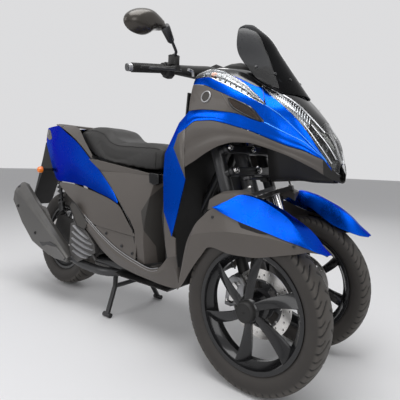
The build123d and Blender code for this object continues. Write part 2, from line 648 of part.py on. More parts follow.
BADGE_REAR, BADGE_TIP = 450, 740
LAMP_END = 890
NOSE_X = 948


def top_line(x):
    """The middle line of the top cover."""
    height = along(TOP, x, 1)
    return (0, height), (0, height - SKIN)


def stations(start, stop):
    """The cowl's table positions between two x values, with both ends."""
    return [start] + [x for x in COWL_X if start + 8 < x < stop - 8] + [stop]


def blend_edge(first, second, share):
    """An edge a share of the way between two others."""
    def between(x):
        return tuple(
            (a[0] + share * (b[0] - a[0]), a[1] + share * (b[1] - a[1])) for a, b in zip(first(x), second(x)))
    return between


with BuildPart() as top_cover:
    add(skin([top_line, edge["cover"]], stations(DASH_X, LAMP_END)))
finish("top_cover", top_cover.part)

with BuildPart() as headlights:
    add(skin([edge["cover"], blend_edge(edge["cover"], edge["lamp"], 0.5), edge["lamp"]], stations(LAMP_START, LAMP_END)))
    add(skin([top_line, edge["cover"], edge["lamp"]], [LAMP_END, 910, 930, NOSE_X]))
finish("headlights", headlights.part)

with BuildPart() as indicators:
    add(skin([edge["lens"], blend_edge(edge["lens"], edge["crease"], 0.4), edge["crease"]], stations(425, LENS_TIP)))
finish("indicators", indicators.part)

with BuildPart() as cowl:
    add(skin([edge["lamp"], edge["lens"]], stations(425, 910)))
    add(skin([edge["crease"], edge["badge"]], stations(425, BADGE_TIP)))
    add(skin([edge["crease"], edge["fold"]], stations(BADGE_TIP, 910)))
    add(skin([edge["lens"], edge["crease"]], stations(LENS_TIP, 910)))
finish("cowl", cowl.part)

with BuildPart() as badge_panels:
    add(skin([edge["badge"], blend_edge(edge["badge"], edge["fold"], 0.5), edge["fold"]], stations(BADGE_REAR, BADGE_TIP)))
finish("badge_panels", badge_panels.part)

with BuildPart() as arch_panels:
    add(skin([edge["band"], blend_edge(edge["band"], edge["arch"], 0.55), edge["arch"]], stations(450, 910)))
finish("arch_panels", arch_panels.part)

with BuildPart() as chin:
    for x in (910, 930, NOSE_X):
        (lamp, lamp_in), (band, band_in), (arch, _) = edge["lamp"](x), edge["band"](x), edge["arch"](x)
        keel = arch[1] - 2
        with BuildSketch(Plane.YZ.offset(x)):
            Polygon(
                lamp, band, arch, (0, keel), (0, keel + SKIN), (arch[0] - SKIN, arch[1] + SKIN / 2), band_in, lamp_in,
                align=None)
    loft(ruled=True)
    mirror(about=Plane.XZ)
finish("chin", chin.part)

# ---------------------------------------------------------------- leg shield
SHIELD_FRONT, SHIELD_BACK = 395, 316
SHIELD_FOOT, SHIELD_BEND = 284, 740
# x, z of the blue panel down each side of the leg shield
LEG_PANEL = [(450, 882), (412, 842), (352, 742), (352, 640), (358, 514), (404, 430), (434, 530), (462, 640), (398, 752),
             (418, 798), (450, 818)]
LEG_PANEL_OUT = 232
with BuildPart() as leg_shield:
    add(skin([edge["fold"], edge["band"]], stations(450, 910)))
    for side in (-1, 1):
        with BuildSketch(Plane.XZ.offset(side * (LEG_PANEL_OUT - 8))):
            Polygon(*LEG_PANEL, align=None)
        extrude(amount=side * 8)
finish("leg_shield", leg_shield.part)

# z, x and half-width at the back, half-width at the front edge
SHIELD = [(SHIELD_FOOT, 320, 168, 174), (358, 318, 172, 176), (420, SHIELD_BACK, 184, 206), (500, 318, 190, 222),
          (SHIELD_BEND, 342, 192, 222)]
GLOVE_PANEL = [(341, SHIELD_BEND - 4), (410, 850), (418, 958), (424, 958), (416, 848), (347, SHIELD_BEND - 4)]
UNDER_BAR = [(418, 954), (424, 974), (472, 1008), (DASH_X - 4, 1044), (DASH_X, 1044), (476, 1004), (428, 970), (423, 954)]
HOLLOW_WALL = 4
with BuildPart() as inner_shield:
    for z, back_x, back, front in SHIELD:
        edge_x, bend_x = SHIELD_FRONT - 4, back_x + 24
        wall = HOLLOW_WALL
        right_out = [(edge_x, -front), (bend_x, -front), (back_x, -back)]
        right_in = [(edge_x, wall - front), (bend_x + 2, wall - front), (back_x + wall, wall - back)]
        with BuildSketch(Plane.XY.offset(z)):
            Polygon(
                *right_out, *[(x, -y) for x, y in right_out[::-1]], *[(x, -y) for x, y in right_in], *right_in[::-1],
                align=None)
    loft(ruled=True)
    add(slab(GLOVE_PANEL, 190))
    add(slab(UNDER_BAR, 138))
    with BuildSketch(HEAD.offset(HEAD_TOP)):
        Circle(COLUMN_R + CLEAR + 1)
    extrude(amount=200, mode=Mode.SUBTRACT)
    add(frame.part, mode=Mode.SUBTRACT)
finish("inner_shield", inner_shield.part)

# ceiling of the wheel space: x, half-width, z
CEILING = [(SHIELD_FRONT, 214, 786), (440, 202, 884), (520, 190, 912), (640, 176, 886), (760, 138, 810), (860, 92, 732),
           (932, 36, 664)]
with BuildPart() as arch_liner:
    with BuildSketch(Plane.YZ.offset(SHIELD_FRONT)):
        Polygon((-214, 790), (214, 790), (220, 740), (220, 480), (174, 262), (-174, 262), (-220, 480), (-220, 740),
                align=None)
    extrude(amount=SKIN)
    for x, half, z in CEILING:
        with BuildSketch(Plane.YZ.offset(x)):
            Polygon((-half, z), (half, z), (half, z + SKIN), (-half, z + SKIN), align=None)
    loft(ruled=True)
    with BuildSketch(HEAD.offset(HEAD_TOP)):
        Circle(COLUMN_R + CLEAR + 1)
    extrude(amount=200, mode=Mode.SUBTRACT)
    add(frame.part, mode=Mode.SUBTRACT)
finish("arch_liner", arch_liner.part)

# ---------------------------------------------------------------- windscreen and dash
# z, x at the middle, x at the edges, half-width
SCREEN = [(900, 846, 770, 132), (1010, 770, 672, 134), (1108, 703, 594, 124), (1180, 655, 572, 98), (1222, 610, 560, 64),
          (1243, 584, 560, 30)]
SCREEN_T = 4
with BuildPart() as windscreen:
    for z, middle, ends, half in SCREEN:
        with BuildSketch(Plane.XY.offset(z)):
            with BuildLine():
                ThreePointArc((ends, -half), (middle, 0), (ends, half))
                Line((ends, half), (ends - 1, half - SCREEN_T))
                ThreePointArc((ends - 1, half - SCREEN_T), (middle - SCREEN_T, 0), (ends - 1, SCREEN_T - half))
                Line((ends - 1, SCREEN_T - half), (ends, -half))
            make_face()
    loft()
    with BuildSketch(Plane.XZ):
        Polygon(*([(x, z + SEAT_FIT) for x, z in TOP] + [(948, 600), (440, 600)]), align=None)
    extrude(amount=160, both=True, mode=Mode.SUBTRACT)
finish("windscreen", windscreen.part)

DASH = [(492, 1058.6), (500, 1104), (560, 1122), (590, 1072), (560, 1062.3), (520, 1062.3)]
with BuildPart() as dash:
    add(slab(DASH, 92))
    add(top_cover.part, mode=Mode.SUBTRACT)
finish("dash", dash.part)

# ---------------------------------------------------------------- floor, skirts and belly
FLOOR_TOP = 280
TUBE_NOTCH_X = (302, 330)
TUBE_NOTCH_Y = (96, 150)
SKIRT_IN, SKIRT_OUT = 177, 194
SKIRT = [(-298, 479), (-169, 417), (-77, 371), (49, 320), (163, 292), (253, 278), (298, 289), (351, 342), (387, 356),
         (392, 262), (408, 256), (412, 236), (333, 223), (167, 233), (54, 249), (-71, 291), (-212, 374)]
with BuildPart() as floor_board:
    add(slab([(40, FLOOR_TOP), (SHIELD_BACK - 1, FLOOR_TOP), (SHIELD_BACK - 1, FLOOR_TOP - 12), (40, FLOOR_TOP - 12)],
             SKIRT_IN))
    for side in (-1, 1):
        add(block(TUBE_NOTCH_X, sorted((side * TUBE_NOTCH_Y[0], side * TUBE_NOTCH_Y[1])), (FLOOR_TOP - 20, FLOOR_TOP + 10)),
            mode=Mode.SUBTRACT)
    add(frame.part, mode=Mode.SUBTRACT)
finish("floor_board", floor_board.part)

with BuildPart() as side_skirts:
    add(prism(SKIRT, SKIRT_IN, SKIRT_OUT))
    mirror(about=Plane.XZ)
finish("side_skirts", side_skirts.part)

BELLY = [(392, 258), (392, 236), (340, 204), (60, 206), (20, 214), (20, 218), (60, 210), (338, 208), (386, 238), (386, 258)]
with BuildPart() as belly_tray:
    add(slab(BELLY, SKIRT_IN))
    add(frame.part, mode=Mode.SUBTRACT)
finish("belly_tray", belly_tray.part)

# ---------------------------------------------------------------- tail cover
TAIL_EDGES = ("top", "middle", "low")
TAIL = [
    (20, 178, 520, 180, 516, 181, 512), (-56, 166, 586, 174, 560, 176, 533), (-143, 160, 645, 170, 600, 172, 550),
    (-253, 145, 703, 164, 640, 166, 571), (-400, 127, 785, 152, 690, 152, 580), (-542, 112, 845, 134, 715, 138, 583),
    (-663, 96, 888, 114, 770, 106, 634), (-745, 80, 887, 92, 800, 86, 705), (-828, 62, 884, 68, 830, 66, 782)]
tail = edges_of(TAIL, TAIL_EDGES, SKIN)
TAIL_X = [row[0] for row in TAIL]
with BuildPart() as tail_cover:
    add(skin([tail["top"], tail["middle"], tail["low"]], TAIL_X))
finish("tail_cover", tail_cover.part)

# ---------------------------------------------------------------- side covers under the seat
# z, x and half-width at the front, at the corner and at the rear edge
SIDE = [(284, 236, 98, 204, 176, 160, 176), (400, 240, 98, 196, 182, 150, 187), (520, 246, 95, 204, 172, 30, 180),
        (590, 252, 92, 216, 162, -60, 170), (646, 260, 90, 236, 150, -144, 161)]
SEAT_SKIRT = [(232, 644), (176, 650), (0, 674), (-188, 700), (-252, 703), (-144, 644)]
with BuildPart() as side_covers:
    for z, front, half, corner, corner_half, back, back_half in SIDE:
        inner = [(back, back_half - SKIN), (corner - 3, corner_half - SKIN), (front - SKIN, half - 2), (front - SKIN, 2 - half),
                 (corner - 3, SKIN - corner_half), (back, SKIN - back_half)]
        outer = [(back, -back_half), (corner, -corner_half), (front, -half), (front, half), (corner, corner_half),
                 (back, back_half)]
        with BuildSketch(Plane.XY.offset(z)):
            Polygon(*(outer + inner), align=None)
    loft(ruled=True)
    for side in (-1, 1):
        with BuildSketch(Plane.XZ.offset(-side * 146)):
            Polygon(*SEAT_SKIRT, align=None)
        extrude(amount=-side * 10)
    add(frame.part, mode=Mode.SUBTRACT)
    add(tail_cover.part, mode=Mode.SUBTRACT)
finish("side_covers", side_covers.part)

# ---------------------------------------------------------------- tail
# x, top half-width and z, low half-width and z
LOWER_TAIL = [(-528, 139, 579, 141, 560), (-400, 151, 577, 160, 512), (-288, 165, 568, 172, 470), (-124, 171, 543, 188, 404),
              (20, 180, 508, 188, 394), (100, 184, 440, 188, 390), (150, 187, 394, 188, 388)]
with BuildPart() as tail_lower:
    add(skin(edges_of(LOWER_TAIL, ("top", "low"), SKIN).values(), [row[0] for row in LOWER_TAIL]))
    add(side_covers.part, mode=Mode.SUBTRACT)
    add(side_skirts.part, mode=Mode.SUBTRACT)
finish("tail_lower", tail_lower.part)

# x, top half-width and z, outer half-width and z
GRAB = [(-240, 144, 724, 147, 706), (-330, 128, 790, 136, 757), (-422, 106, 860, 125, 804), (-500, 86, 882, 117, 838),
        (-589, 72, 892, 106, 872), (-680, 54, 901, 92, 897)]
DECK_X = (-684, -486)
with BuildPart() as grab_rail:
    add(skin(edges_of(GRAB, ("top", "out"), 6).values(), [row[0] for row in GRAB]))
    add(slab([(DECK_X[1], 868), (DECK_X[1], 878), (-589, 892), (DECK_X[0], 900), (DECK_X[0], 890), (-589, 882)], 76))
    for side in (-1, 1):
        add(block((-640, -600), sorted((side * 60, side * 99)), (862, 882)))
    add(tail_cover.part, mode=Mode.SUBTRACT)
finish("grab_rail", grab_rail.part)

MUDGUARD = [(-640, 604), (-745, 690), (-829, 776), (-829, 798), (-850, 797), (-878, 700), (-944, 522), (-990, 420),
            (-980, 416), (-930, 514), (-862, 640), (-790, 642), (-700, 596), (-640, 586)]
MUDGUARD_MOUNT = [(-742, 688), (-702, 744), (-714, 790), (-800, 790), (-829, 777)]
LAMP_X, LAMP_Y, LAMP_Z = -752, 138, 636
with BuildPart() as mudguard:
    add(slab(MUDGUARD, 60))
    add(slab(MUDGUARD_MOUNT, 58))
    add(frame.part, mode=Mode.SUBTRACT)
    add(bar((LAMP_X, 12 - LAMP_Y, LAMP_Z), (LAMP_X, LAMP_Y - 12, LAMP_Z), 8))
finish("mudguard", mudguard.part)

with BuildPart() as rear_lamps:
    add(slab([(-829, 800), (-829, 872), (-846, 866), (-858, 812), (-850, 798)], 56))
    for side in (-1, 1):
        with BuildSketch(Plane.XZ.offset(-side * (LAMP_Y - 12 + SEAT_FIT))):
            with Locations((LAMP_X, LAMP_Z)):
                RectangleRounded(40, 30, 12)
        extrude(amount=-side * 24, taper=18)
finish("rear_lamps", rear_lamps.part)

# ---------------------------------------------------------------- engine, swing unit, exhaust
ARM_IN, ARM_OUT = 84, 96
CASE_IN, CASE_OUT = 72, 126
ENGINE_REAR = -331
CASE = [(ENGINE_REAR - 1, 252), (ENGINE_REAR - 1, 400), (-560, 392), (-650, 330), (-660, 240), (-610, 205), (-420, 214)]
AIR_BOX = [(ENGINE_REAR, 396), (-540, 388), (-548, 430), (-520, 476), (-400, 500), (ENGINE_REAR, 480)]
RIGHT_ARM = [(ENGINE_REAR, 262), (ENGINE_REAR, 360), (-560, 396), (-600, 396), (-652, 300), (-650, 236), (-600, 226),
             (-480, 250)]
with BuildPart() as engine:
    add(block((ENGINE_REAR, -60), (-88, 88), (250, 422)))
    add(block((-200, 10), (-70, 70), (262, 380)))
    add(block((ENGINE_REAR - 6, ENGINE_REAR + 1), (-100, 100), (262, 380)))
    add(prism(CASE, -CASE_OUT, -CASE_IN))
    add(prism(AIR_BOX, -138, -74))
    add(prism(RIGHT_ARM, ARM_IN, ARM_OUT))
    for start, end, radius in (
            (-ARM_OUT - 6, CASE_IN + 10, REAR_AXLE_R), (REAR_HUB_HALF + SEAT_FIT, CASE_IN + 1, 24),
            (-ARM_IN - 1, -REAR_HUB_HALF - 12 - SEAT_FIT, 22)):
        add(bar((REAR_AXLE_X, start, REAR_AXLE_Z), (REAR_AXLE_X, end, REAR_AXLE_Z), radius))
    add(frame.part, mode=Mode.SUBTRACT)
finish("engine", engine.part)

COIL_R = 18
SHOCK_Y = 88
SHOCK_TOP, SHOCK_FOOT = (-648, 714), (-578, 404)
with BuildPart() as shocks:
    for side in (-1, 1):
        start = Vector(SHOCK_FOOT[0], side * SHOCK_Y, SHOCK_FOOT[1])
        end = Vector(SHOCK_TOP[0], side * SHOCK_Y, SHOCK_TOP[1])
        way = (end - start).normalized()
        add(bar(start, end, 8))
        add(bar(start + way * 40, end - way * 30, COIL_R))
    add(frame.part, mode=Mode.SUBTRACT)
finish("shocks", shocks.part)

MUFFLER = [(-850, 566), (-902, 482), (-796, 346), (-633, 240), (-470, 208), (-326, 208), (-312, 232), (-433, 318),
           (-530, 428), (-700, 520)]
MUFFLER_IN, MUFFLER_OUT = 142, 204
with BuildPart() as exhaust:
    add(prism(MUFFLER, MUFFLER_IN, MUFFLER_OUT))
    outer_edges = exhaust.part.faces().sort_by(Axis.Y)[0].edges()
    chamfer(outer_edges, 16)
    add(block((-640, -600), (-MUFFLER_IN - 1, -ARM_OUT), (330, 366)))
    add(tube([(-330, -160, 222), (-230, -160, 198), (-60, -152, 192), (-14, -60, 194), (-14, -40, 262)], 19, 24))
    add(engine.part, mode=Mode.SUBTRACT)
finish("exhaust", exhaust.part)

RADIATOR = [(-332, 417), (-238, 428), (-127, 300), (-127, 256), (-196, 238), (-300, 290)]
with BuildPart() as radiator_cover:
    add(prism(RADIATOR, 160, 172))
    for step in range(7):
        x = -306 + 26 * step
        add(prism([(x, 400 - 22 * step), (x + 10, 404 - 22 * step), (x + 34, 330 - 14 * step), (x + 24, 326 - 14 * step)],
                  171, 182))
    add(block((-318, -272), (-161, -88), (300, 356)))
    add(engine.part, mode=Mode.SUBTRACT)
finish("radiator_cover", radiator_cover.part)

# ---------------------------------------------------------------- storage box and seat
BOX_HALF = 108
BOX_WALL = 3
BOX = [(105, 436), (105, 654), (-320, 728), (-320, 436)]
BOX_SPACE = [(105 - BOX_WALL, 436 + BOX_WALL), (105 - BOX_WALL, 680), (-320 + BOX_WALL, 760), (-320 + BOX_WALL, 436 + BOX_WALL)]
with BuildPart() as storage_box:
    add(slab(BOX, BOX_HALF))
    with BuildSketch(Plane.XZ):
        Polygon(*BOX_SPACE, align=None)
    extrude(amount=BOX_HALF - BOX_WALL, both=True, mode=Mode.SUBTRACT)
    for x in (40, -260):
        for side in (-1, 1):
            add(block((x - 12, x + 12), sorted((side * (BOX_HALF - 1), side * HOOP_Y)), (HOOP_Z - 30, HOOP_Z - 8)))
    add(frame.part, mode=Mode.SUBTRACT)
finish("storage_box", storage_box.part)

# x, half-width, underside z, top z
SEAT_SECTIONS = [(196, 62, 704, 752), (160, 96, 669, 778), (60, 124, 682, 784), (-70, 138, 694, 790), (-130, 138, 702, 806),
                 (-200, 130, 712, 852), (-320, 112, 750, 872), (-420, 92, 796, 862), (-466, 72, 826, 848)]
with BuildPart() as seat:
    for x, half, low, high in SEAT_SECTIONS:
        rise = high - low
        right_side = [(half * 0.92, low), (half, low + 0.4 * rise), (half * 0.93, low + 0.8 * rise), (half * 0.62, high)]
        loop = right_side + [(-y, z) for y, z in right_side[::-1]]
        with BuildSketch(Plane.YZ.offset(x)):
            Polygon(*loop, align=None)
    loft(ruled=True)
finish("seat", seat.part)

with BuildPart() as seat_hinge:
    add(slab([(100, 660), (196, 660), (196, 668.7), (158, 668.7), (100, 664)], LUG_IN - 1))
    add(bar((HINGE_X, 1 - LUG_IN, HINGE_Z), (HINGE_X, LUG_IN - 1, HINGE_Z), 10))
    add(bar((HINGE_X, -LUG_IN, HINGE_Z), (HINGE_X, LUG_IN, HINGE_Z), HINGE_PIN_R + RUNNING_FIT), mode=Mode.SUBTRACT)
finish("seat_hinge", seat_hinge.part)

# ---------------------------------------------------------------- stands
FOOT_X, FOOT_Y = -56, 150
with BuildPart() as centre_stand:
    for side in (-1, 1):
        add(bar((STAND_X, side * 74, STAND_Z), (STAND_X, side * 94, STAND_Z), 17))
        add(tube([(STAND_X, side * 84, STAND_Z), (STAND_X + 14, side * 96, 120), (FOOT_X, side * FOOT_Y, 10)], 11, 40))
        add(bar((FOOT_X - 24, side * FOOT_Y, 10), (FOOT_X + 24, side * FOOT_Y, 10), 10))
    add(bar((STAND_X + 14, -94, 118), (STAND_X + 14, 94, 118), 10))
    add(bar((STAND_X, -112, STAND_Z), (STAND_X, 112, STAND_Z), STAND_PIN_R + RUNNING_FIT), mode=Mode.SUBTRACT)
finish("centre_stand", centre_stand.part)

with BuildPart() as side_stand:
    add(bar((SIDE_STAND_X, SIDE_STAND_Y, SIDE_STAND_Z), (SIDE_STAND_X, SIDE_STAND_Y + 16, SIDE_STAND_Z), 14))
    add(tube([(SIDE_STAND_X, SIDE_STAND_Y + 9, SIDE_STAND_Z), (SIDE_STAND_X - 90, SIDE_STAND_Y + 14, 176),
              (SIDE_STAND_X - 210, SIDE_STAND_Y + 34, 180)], 8, 60))
    add(bar((SIDE_STAND_X - 205, SIDE_STAND_Y + 26, 181), (SIDE_STAND_X - 205, SIDE_STAND_Y + 44, 181), 20))
    add(bar((SIDE_STAND_X, 140, SIDE_STAND_Z), (SIDE_STAND_X, 172, SIDE_STAND_Z), SIDE_PIN_R + RUNNING_FIT),
        mode=Mode.SUBTRACT)
finish("side_stand", side_stand.part)

print({name: len(body.solids()) for name, body in pieces.items()})
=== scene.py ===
# %% [markdown]
# # Dressing a leaning three-wheeled scooter
# The solids, joints and sizes come from a CAD model. This lesson loads it as a fixed frame and builds the
# surfaces that people see: paint, moulded plastic, rubber, cast metal, glass and a stitched seat. Every
# place below is in millimetres in tables, and becomes metres when a mesh is made.

# %% Load the frame and measure it
from math import atan2, cos, hypot, pi, radians, sin

import bmesh
import bpy
import numpy as np
from mathutils import Matrix, Vector
from mathutils.bvhtree import BVHTree


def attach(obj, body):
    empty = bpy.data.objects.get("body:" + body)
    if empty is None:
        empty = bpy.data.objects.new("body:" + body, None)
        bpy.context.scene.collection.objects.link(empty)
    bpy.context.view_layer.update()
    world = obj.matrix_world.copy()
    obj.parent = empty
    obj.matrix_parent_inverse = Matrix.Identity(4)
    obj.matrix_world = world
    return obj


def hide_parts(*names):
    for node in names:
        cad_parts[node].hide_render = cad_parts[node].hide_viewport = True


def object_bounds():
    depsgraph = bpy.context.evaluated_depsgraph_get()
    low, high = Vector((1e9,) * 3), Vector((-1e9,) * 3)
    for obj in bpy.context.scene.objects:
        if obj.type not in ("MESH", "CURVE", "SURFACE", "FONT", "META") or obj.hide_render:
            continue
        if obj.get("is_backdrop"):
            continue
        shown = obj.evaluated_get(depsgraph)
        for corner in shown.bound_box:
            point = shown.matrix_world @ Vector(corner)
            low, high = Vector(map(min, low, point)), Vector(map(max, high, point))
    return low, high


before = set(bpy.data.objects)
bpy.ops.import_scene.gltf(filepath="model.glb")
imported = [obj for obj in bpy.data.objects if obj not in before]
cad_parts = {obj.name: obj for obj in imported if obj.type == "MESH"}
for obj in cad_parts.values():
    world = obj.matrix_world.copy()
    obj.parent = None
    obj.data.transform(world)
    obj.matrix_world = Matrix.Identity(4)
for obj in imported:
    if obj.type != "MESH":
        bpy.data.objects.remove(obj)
scene = bpy.context.scene
MM = 0.001
SIDES = (("left", 1), ("right", -1))
cad_low, cad_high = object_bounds()
print("frame size", [round(high - low, 3) for low, high in zip(cad_low, cad_high)])

# %% [markdown]
# ## The camera, the floor and the light
# The vehicle stands in a plain studio. The camera looks from the front right at about headlight height, and
# slightly upwards, so its image is shifted down instead of tilting it, which keeps upright lines upright.

# %% Camera
CAMERA_PLACE = (1.35198, -1.17577, 0.68741)
CAMERA_LENS, CAMERA_SHIFT = 32.66, (-0.0928, -0.1184)
CAMERA_TURN, CAMERA_RISE, CAMERA_ROLL = radians(125.305619), radians(2.274593), radians(1.898612)


def camera_axes(turn, rise, roll):
    """Right, up and backward directions of a camera that looks along a turn and rise."""
    ahead = Vector((cos(rise) * cos(turn), cos(rise) * sin(turn), sin(rise)))
    level = ahead.cross(Vector((0, 0, 1))).normalized()
    upright = level.cross(ahead)
    right = cos(roll) * level + sin(roll) * upright
    return right, -sin(roll) * level + cos(roll) * upright, -ahead


camera_data = bpy.data.cameras.new("camera")
camera_data.sensor_width, camera_data.lens = 36, CAMERA_LENS
camera_data.shift_x, camera_data.shift_y = CAMERA_SHIFT
camera = bpy.data.objects.new("camera", camera_data)
camera.matrix_world = Matrix(camera_axes(CAMERA_TURN, CAMERA_RISE, CAMERA_ROLL)).transposed().to_4x4()
camera.matrix_world.translation = CAMERA_PLACE
scene.collection.objects.link(camera)
scene.camera = camera
print("camera lens", camera_data.lens)

# %% Studio
scene.view_settings.view_transform = "Standard"


def soft_light(name, place, size, watts, target=(0, 0, 0.5)):
    """A large square lamp aimed at a point: the larger it is, the softer the shadow."""
    data = bpy.data.lights.new(name, "AREA")
    data.shape, data.size, data.energy = "SQUARE", size, watts
    lamp = bpy.data.objects.new(name, data)
    lamp.location = place
    lamp.rotation_euler = (Vector(target) - Vector(place)).to_track_quat("-Z", "Y").to_euler()
    scene.collection.objects.link(lamp)


soft_light("overhead_light", (0.6, -0.5, 3.4), 2.2, 82)
soft_light("front_light", (3.2, -2.2, 1.9), 1.8, 26)
soft_light("side_light", (-1.2, -3.2, 2.2), 1.8, 26)
soft_light("back_light", (-1.5, 3.2, 2.4), 2.0, 22)

world = bpy.data.worlds.new("studio")
scene.world = world
world.use_nodes = True
nodes, links = world.node_tree.nodes, world.node_tree.links
background = nodes["Background"]
background.inputs["Color"].default_value = (0.80, 0.80, 0.81, 1)
background.inputs["Strength"].default_value = 0.40
path = nodes.new("ShaderNodeLightPath")
pale = nodes.new("ShaderNodeBackground")
pale.inputs["Color"].default_value = (0.72, 0.72, 0.73, 1)
pale.inputs["Strength"].default_value = 1.0
either = nodes.new("ShaderNodeMixShader")
seen = path.outputs["Is Camera Ray"]
for ray in ("Is Glossy Ray", "Is Transmission Ray"):
    larger = nodes.new("ShaderNodeMath")
    larger.operation = "MAXIMUM"
    links.new(seen, larger.inputs[0])
    links.new(path.outputs[ray], larger.inputs[1])
    seen = larger.outputs[0]
links.new(seen, either.inputs[0])
links.new(background.outputs[0], either.inputs[1])
links.new(pale.outputs[0], either.inputs[2])
links.new(either.outputs[0], nodes["World Output"].inputs["Surface"])

# %% [markdown]
# ## Shared surface effects
# Real surfaces are never one even colour. Three small node groups carry what most of them share: a fine
# grain, soft marks from handling, and wear where an edge is rubbed. Each is built once and gets its own
# values in each finish.

# %% Node group helper


def new_group(name, inputs, outputs):
    """An empty shader node group with number inputs and named outputs."""
    group = bpy.data.node_groups.new(name, "ShaderNodeTree")
    for label, value in inputs.items():
        socket = group.interface.new_socket(label, in_out="INPUT", socket_type="NodeSocketFloat")
        socket.default_value = value
    for label, kind in outputs.items():
        group.interface.new_socket(label, in_out="OUTPUT", socket_type=kind)
    entry, leaving = group.nodes.new("NodeGroupInput"), group.nodes.new("NodeGroupOutput")
    print("group", name, "with", list(outputs))
    return group, entry, leaving


def math_node(tree, operation, first, second=None, clamp=False):
    """A Math node whose inputs are sockets or plain numbers; returns its output."""
    node = tree.nodes.new("ShaderNodeMath")
    node.operation, node.use_clamp = operation, clamp
    for socket, value in zip(node.inputs, (first, second)):
        if value is None:
            continue
        if isinstance(value, (int, float)):
            socket.default_value = value
        else:
            tree.links.new(value, socket)
    return node.outputs[0]


def mix_node(tree, factor, first, second):
    """A colour Mix node whose inputs are sockets or colours; returns its output."""
    node = tree.nodes.new("ShaderNodeMix")
    node.data_type = "RGBA"
    for label, value in (("Factor", factor), ("A", first), ("B", second)):
        if isinstance(value, (tuple, list)):
            node.inputs[label].default_value = (*value, 1)
        else:
            tree.links.new(value, node.inputs[label])
    return node.outputs["Result"]


# %% Group: fine grain of moulded plastic and cast metal
grain_group, entry, leaving = new_group(
    "fine_grain", {"Scale": 800.0, "Roughness": 0.6}, {"Height": "NodeSocketFloat"})
place = grain_group.nodes.new("ShaderNodeTexCoord")
noise = grain_group.nodes.new("ShaderNodeTexNoise")
noise.inputs["Detail"].default_value = 3.0
grain_group.links.new(place.outputs["Object"], noise.inputs["Vector"])
grain_group.links.new(entry.outputs["Scale"], noise.inputs["Scale"])
grain_group.links.new(entry.outputs["Roughness"], noise.inputs["Roughness"])
grain_group.links.new(noise.outputs["Fac"], leaving.inputs["Height"])

# %% Group: soft marks from handling and cleaning
marks_group, entry, leaving = new_group(
    "handling_marks", {"Scale": 9.0, "Contrast": 1.6}, {"Mask": "NodeSocketFloat"})
place = marks_group.nodes.new("ShaderNodeTexCoord")
broad, fine = marks_group.nodes.new("ShaderNodeTexNoise"), marks_group.nodes.new("ShaderNodeTexNoise")
broad.inputs["Detail"].default_value, fine.inputs["Detail"].default_value = 4.0, 6.0
marks_group.links.new(place.outputs["Object"], broad.inputs["Vector"])
marks_group.links.new(place.outputs["Object"], fine.inputs["Vector"])
marks_group.links.new(entry.outputs["Scale"], broad.inputs["Scale"])
marks_group.links.new(math_node(marks_group, "MULTIPLY", entry.outputs["Scale"], 7.0), fine.inputs["Scale"])
both = math_node(
    marks_group, "ADD", broad.outputs["Fac"], math_node(marks_group, "MULTIPLY", fine.outputs["Fac"], 0.35))
centred = math_node(marks_group, "SUBTRACT", both, 0.675)
spread = math_node(marks_group, "MULTIPLY", centred, entry.outputs["Contrast"])
marks_group.links.new(math_node(marks_group, "ADD", spread, 0.5, clamp=True), leaving.inputs["Mask"])

# %% Group: rubbed edges
wear_group, entry, leaving = new_group(
    "edge_wear", {"Amount": 0.4, "Scale": 60.0}, {"Mask": "NodeSocketFloat"})
shape = wear_group.nodes.new("ShaderNodeNewGeometry")
place = wear_group.nodes.new("ShaderNodeTexCoord")
patches = wear_group.nodes.new("ShaderNodeTexNoise")
patches.inputs["Detail"].default_value = 5.0
wear_group.links.new(place.outputs["Object"], patches.inputs["Vector"])
wear_group.links.new(entry.outputs["Scale"], patches.inputs["Scale"])
sharp = math_node(
    wear_group, "MULTIPLY", math_node(wear_group, "SUBTRACT", shape.outputs["Pointiness"], 0.52), 14.0, True
)
broken = math_node(wear_group, "MULTIPLY", sharp, math_node(wear_group, "ADD", patches.outputs["Fac"], 0.2))
wear_group.links.new(
    math_node(wear_group, "MULTIPLY", broken, entry.outputs["Amount"], clamp=True), leaving.inputs["Mask"])

# %% [markdown]
# ## Finishes
# Each finish is one material with its own shader. `finish` joins the three groups to a Principled shader:
# marks vary the colour and the gloss a little, wear lightens the edges, and grain goes to a Bump node. What
# one finish has alone, such as the flakes in the paint, is added to that material afterwards.

# %% Finish helper


def put_group(mat, group, **values):
    """Places a node group in a material with its own values."""
    node = mat.node_tree.nodes.new("ShaderNodeGroup")
    node.node_tree = group
    for label, value in values.items():
        node.inputs[label].default_value = value
    return node


